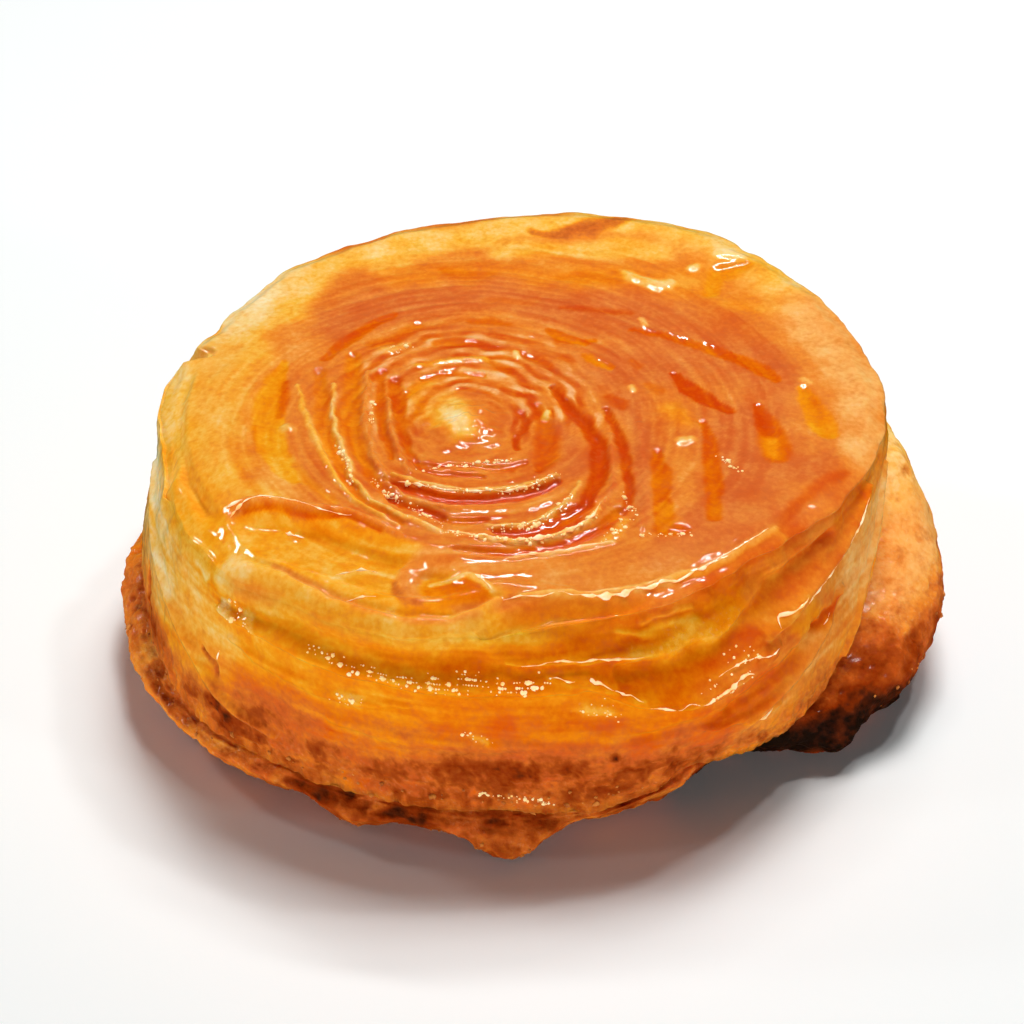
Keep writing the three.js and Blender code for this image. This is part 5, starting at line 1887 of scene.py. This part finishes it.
@dataclass
class Studio:
    """A plain pale table, soft light from above and behind, and the camera."""

    elevation: float = 36.0
    distance: float = 325.0
    lens: float = 90.0
    sensor: float = 36.0
    aim: Triple = (-2.4, 0.0, 18.0)
    table: float = 3000.0
    table_tone: str = "fcfefd"
    table_roughness: float = 0.6
    surround: float = 0.04
    surround_tone: str = "cdeff4"
    lamps: tuple[Lamp, ...] = (
        Lamp("overhead", (72, 180, 647), 205, 205, 2.7),
        Lamp("strip", (60, 330, 600), 320, 36, 1.25, True),
        Lamp("front", (-60, -900, 32), 1500, 60, 5.2),
        Lamp("left", (-800, -200, 90), 90, 180, 1.8),
        Lamp("right", (760, -400, 150), 90, 280, 1.4),
        Lamp("glint_left", (-408, 168, 370), 60, 60, 0.25, True),
        Lamp("glint_right", (210, 120, 540), 40, 40, 0.4, True),
    )

    def build(self) -> None:
        """Builds the table, the lamps, the surrounding light and the camera."""
        sheet = bmesh.new()
        bmesh.ops.create_grid(sheet, x_segments=2, y_segments=2, size=self.table / 2 * MM)
        table = new_piece("table_top", sheet)
        finish = bpy.data.materials.new("white table")
        finish.use_nodes = True
        shader = finish.node_tree.nodes["Principled BSDF"]
        shader.inputs["Base Color"].default_value = linear(self.table_tone)
        shader.inputs["Roughness"].default_value = self.table_roughness
        table.data.materials.append(finish)
        table.visible_glossy = False
        for lamp in self.lamps:
            lamp.build()
        world = bpy.data.worlds.new("studio")
        world.use_nodes = True
        air = world.node_tree.nodes["Background"]
        air.inputs["Color"].default_value = linear(self.surround_tone)
        air.inputs["Strength"].default_value = self.surround
        world.cycles_visibility.glossy = False
        bpy.context.scene.world = world
        self.camera()
        bpy.context.scene.view_settings.view_transform = "Standard"

    def camera(self) -> None:
        """Sets the camera up and makes it the scene's."""
        lens = bpy.data.cameras.new("camera")
        lens.lens = self.lens
        lens.sensor_width = self.sensor
        camera = bpy.data.objects.new("camera", lens)
        tilt = math.radians(self.elevation)
        away = Vector((0.0, -math.cos(tilt), math.sin(tilt))) * self.distance
        camera.location = (Vector(self.aim) + away) * MM
        camera.rotation_euler = (-away).to_track_quat("-Z", "Y").to_euler()
        bpy.context.scene.collection.objects.link(camera)
        bpy.context.scene.camera = camera


SUGAR: Laid = (
    (TOP, [(-15, -18.2, 0.3), (-8, -19.9, 0.3), (-3, -19.6, 0.4), (0, -18.6, 0.4), (3, -16.4, 0.5)]),
    (TOP, [(-19, -17, 0.5), (-17, -20, 0.4), (-13, -23.4, 0.4), (-10.5, -26.5, 0.4)]),
    (TOP, [(-10.5, -27.4, 0.5), (-6, -28.6, 0.4), (-2, -29.6, 0.4), (1.5, -29, 0.4), (5, -27, 0.4),
           (7, -24.6, 0.4)]),
    (TOP, [(-5, -27, 0.3), (0, -26, 0.5), (2.4, -23.6, 0.8), (4.4, -20.8, 0.5)]),
    (TOP, [(7.6, -29.6, 0.5), (9.4, -27.8, 0.7), (11, -25, 0.8)]),
    (TOP, [(-23.6, -10, 0.3), (-22, -14, 0.3), (-21.2, -18, 0.3)]),
    (TOP, [(-19.6, -1, 0.4), (-19.4, -6, 0.4)]),
    (TOP, [(-18, 11, 1), (-15, 12, 0.8)]),
    (TOP, [(-13.6, -15.4, 0.3), (-11, -14.6, 0.4), (-2.4, -13.4, 0.4)]),
    (TOP, [(22, -12, 0.5), (24.6, -16, 0.5)]),
    (TOP, [(12, -28.2, 0.3), (18, -28, 0.4)]),
    (TOP, [(10.6, -20, 0.4), (12, -25, 0.4)]),
    (SIDE, [(236, 27.4, 0.5), (248, 26.8, 0.6), (256, 26.6, 0.7), (264, 26.3, 0.9), (273, 26.6, 0.7)]),
    (SIDE, [(222, 28.6, 0.7), (225, 27.4, 0.7), (228, 26.8, 0.5)]),
    (SIDE, [(251, 26.8, 0.6), (260, 26.4, 0.8), (272, 26.6, 0.7)]),
    (SIDE, [(277, 22.8, 1.1), (280, 22, 1.1), (283, 20.8, 0.6)]),
    (SIDE, [(300, 24.4, 0.9), (306, 24.4, 0.7)]),
    (SIDE, [(295, 22, 0.6), (304, 22.8, 0.8)]),
    (SIDE, [(241, 22, 0.8), (245, 21.6, 0.6)]),
    (SIDE, [(260, 18.6, 0.7), (264, 18, 0.6)]),
    (SIDE, [(262, 9.6, 0.3), (268, 8.8, 0.3), (274, 7.8, 0.3)]),
)
CRUMBS: Laid = (
    (SIDE, [(222, 9, 1.4), (240, 9, 1.6), (256, 9, 1.6), (274, 8, 1.6), (284, 10, 1.4)]),
    (SIDE, [(240, 3.4, 0.8), (256, 2.6, 1), (266, 2, 1.4), (272, 2.4, 1)]),
    (SIDE, [(266, 6, 2), (276, 7, 1.6), (290, 9, 1.6)]),
    (SIDE, [(330, 8, 2), (345, 10, 3), (356, 14, 3)]),
    (SIDE, [(190, 10, 1.6), (210, 9, 1.6), (222, 8, 1.2)]),
    (SIDE, [(60, 9, 2), (120, 8, 2), (170, 9, 2)]),
)
# Where the syrup threads run: along edges that carry highlights, which their pale colour paints.
SYRUP_HIGHLIGHTS: Laid = (
    (TOP, [(-16, -17.6, 0.12), (-12, -19, 0.16), (-8, -19.8, 0.18), (-3, -19.5, 0.2), (0, -18.5, 0.2),
           (2.6, -16.6, 0.15)]),
    (TOP, [(-10, -27.2, 0.15), (-6, -28.6, 0.2), (-2, -29.7, 0.28), (1.4, -29, 0.3), (4.8, -27.2, 0.22),
           (7, -24.8, 0.18), (8.4, -21.6, 0.12)]),
    (TOP, [(-3, -32.4, 0.14), (0.5, -31.9, 0.26), (5, -30.8, 0.22), (8.4, -29.8, 0.12)]),
    (TOP, [(-35.2, -23.2, 0.24), (-33.8, -21.8, 0.32), (-32.4, -21.5, 0.12), (-30, -21.6, 0.09),
           (-26, -23, 0.08), (-22.6, -24, 0.14), (-20.6, -24.6, 0.06)]),
    (TOP, [(-3.6, -39, 0.07), (2.4, -38.9, 0.1), (5.4, -39, 0.18), (7.4, -39.1, 0.4), (9.6, -38.9, 0.3),
           (11.8, -37.8, 0.34), (15.4, -36.1, 0.24), (18.7, -34, 0.18), (23.5, -30, 0.11),
           (27.2, -26.2, 0.07)]),
    (TOP, [(-10.6, -35.2, 0.3), (-9.8, -34.9, 0.5), (-8.9, -34.9, 0.3)]),
    (TOP, [(-7.4, -35, 0.12), (-6, -36, 0.3), (-5.2, -37, 0.36), (-4.5, -38.2, 0.16)]),
    (TOP, [(-22.4, -33.4, 0.08), (-20.6, -32.6, 0.2), (-19, -32.4, 0.22), (-17.4, -32.8, 0.08)]),
    (TOP, [(-35.6, -21.4, 0.5), (-34.4, -21.4, 0.6), (-33.6, -21.6, 0.3)]),
    (TOP, [(-28.6, -25.4, 0.3), (-28, -25.8, 0.5), (-27.4, -26, 0.3)]),
    (TOP, [(-21, -38, 0.14), (-19.4, -37.4, 0.3), (-17.4, -37.6, 0.14)]),
    (SIDE, [(272, 27.2, 0.1), (276, 26.9, 0.24), (280, 26, 0.22), (284, 24.2, 0.16), (286, 23.4, 0.1)]),
    (SIDE, [(286.6, 22.5, 0.12), (290, 22.3, 0.2), (295, 21.7, 0.2), (301, 22.5, 0.3), (304, 22.8, 0.12)]),
    (SIDE, [(298, 23.2, 0.1), (303, 24, 0.24), (306, 23.6, 0.3), (309.5, 23.9, 0.16)]),
    (SIDE, [(310, 26, 0.2), (312.6, 26.4, 0.22), (315, 26.8, 0.14), (317.6, 27.2, 0.1)]),
    (SIDE, [(317, 26.2, 0.1), (322, 27, 0.22), (327, 27.6, 0.18), (329, 28, 0.1)]),
    (SIDE, [(331, 28.4, 0.14), (334.6, 29.2, 0.22), (338, 30.2, 0.2), (340, 31, 0.14)]),
    (SIDE, [(268, 28.5, 0.08), (274, 28.8, 0.16), (281, 28.3, 0.16), (287, 27.7, 0.08)]),
    (SIDE, [(304.6, 15.3, 0.14), (306.4, 15.2, 0.3), (308.4, 15.6, 0.14)]),
    (SIDE, [(321.6, 21.2, 0.14), (323, 21.6, 0.3), (324.6, 21.9, 0.12)]),
    (SIDE, [(219.6, 18, 0.08), (219.8, 19.6, 0.16), (220, 20.6, 0.08)]),
)


def main() -> None:
    """Builds the pastry and the studio in order."""
    logging.basicConfig(level=logging.INFO, format="%(name)s: %(message)s")
    form = Form()
    coil, wrap, base = CoilTop(form), Wrap(form), BaseLayer(form)
    glazed = Crust("glazed_dough", coat=0.75, coat_roughness=0.05, roughness=0.4).material()
    baked = Crust("baked_dough", coat=0.25, coat_roughness=0.2, roughness=0.5).material()
    crust = (coil.build(), wrap.build(coil), base.build())
    for part, piece, finish in zip((coil, wrap, base), crust, (glazed, glazed, baked)):
        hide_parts(NODE)
        part.dress(piece, finish)
    ground = Ground(crust)
    for part, finish in (
        (Scatter("sugar_grains", SUGAR, per_mm=4.2, size=(0.07, 0.3), flat=0.6, angular=0.5, seed=5),
         Grain("half_melted_sugar", "ffe9b4", "ffcc70", roughness=0.15, coat=1.0, glow=0.3)),
        (Scatter("crumbs", CRUMBS, per_mm=0.8, size=(0.12, 0.4), flat=0.6, angular=0.7, seed=6),
         Grain("crumbs_of_crust", "f0953c", "a84e18", roughness=0.6, coat=0.1)),
        # Syrup threads coloured pale cream: a painted highlight along the edges.
        (Threads("syrup_highlight_threads", SYRUP_HIGHLIGHTS),
         Grain("set_syrup_painted_highlight", "ffe8c0", "ffbe68", roughness=0.12, coat=1.0, glow=0.35)),
    ):
        part.dress(part.build(ground), finish.material())
    Studio().build()


if __name__ == "__main__":
    main()
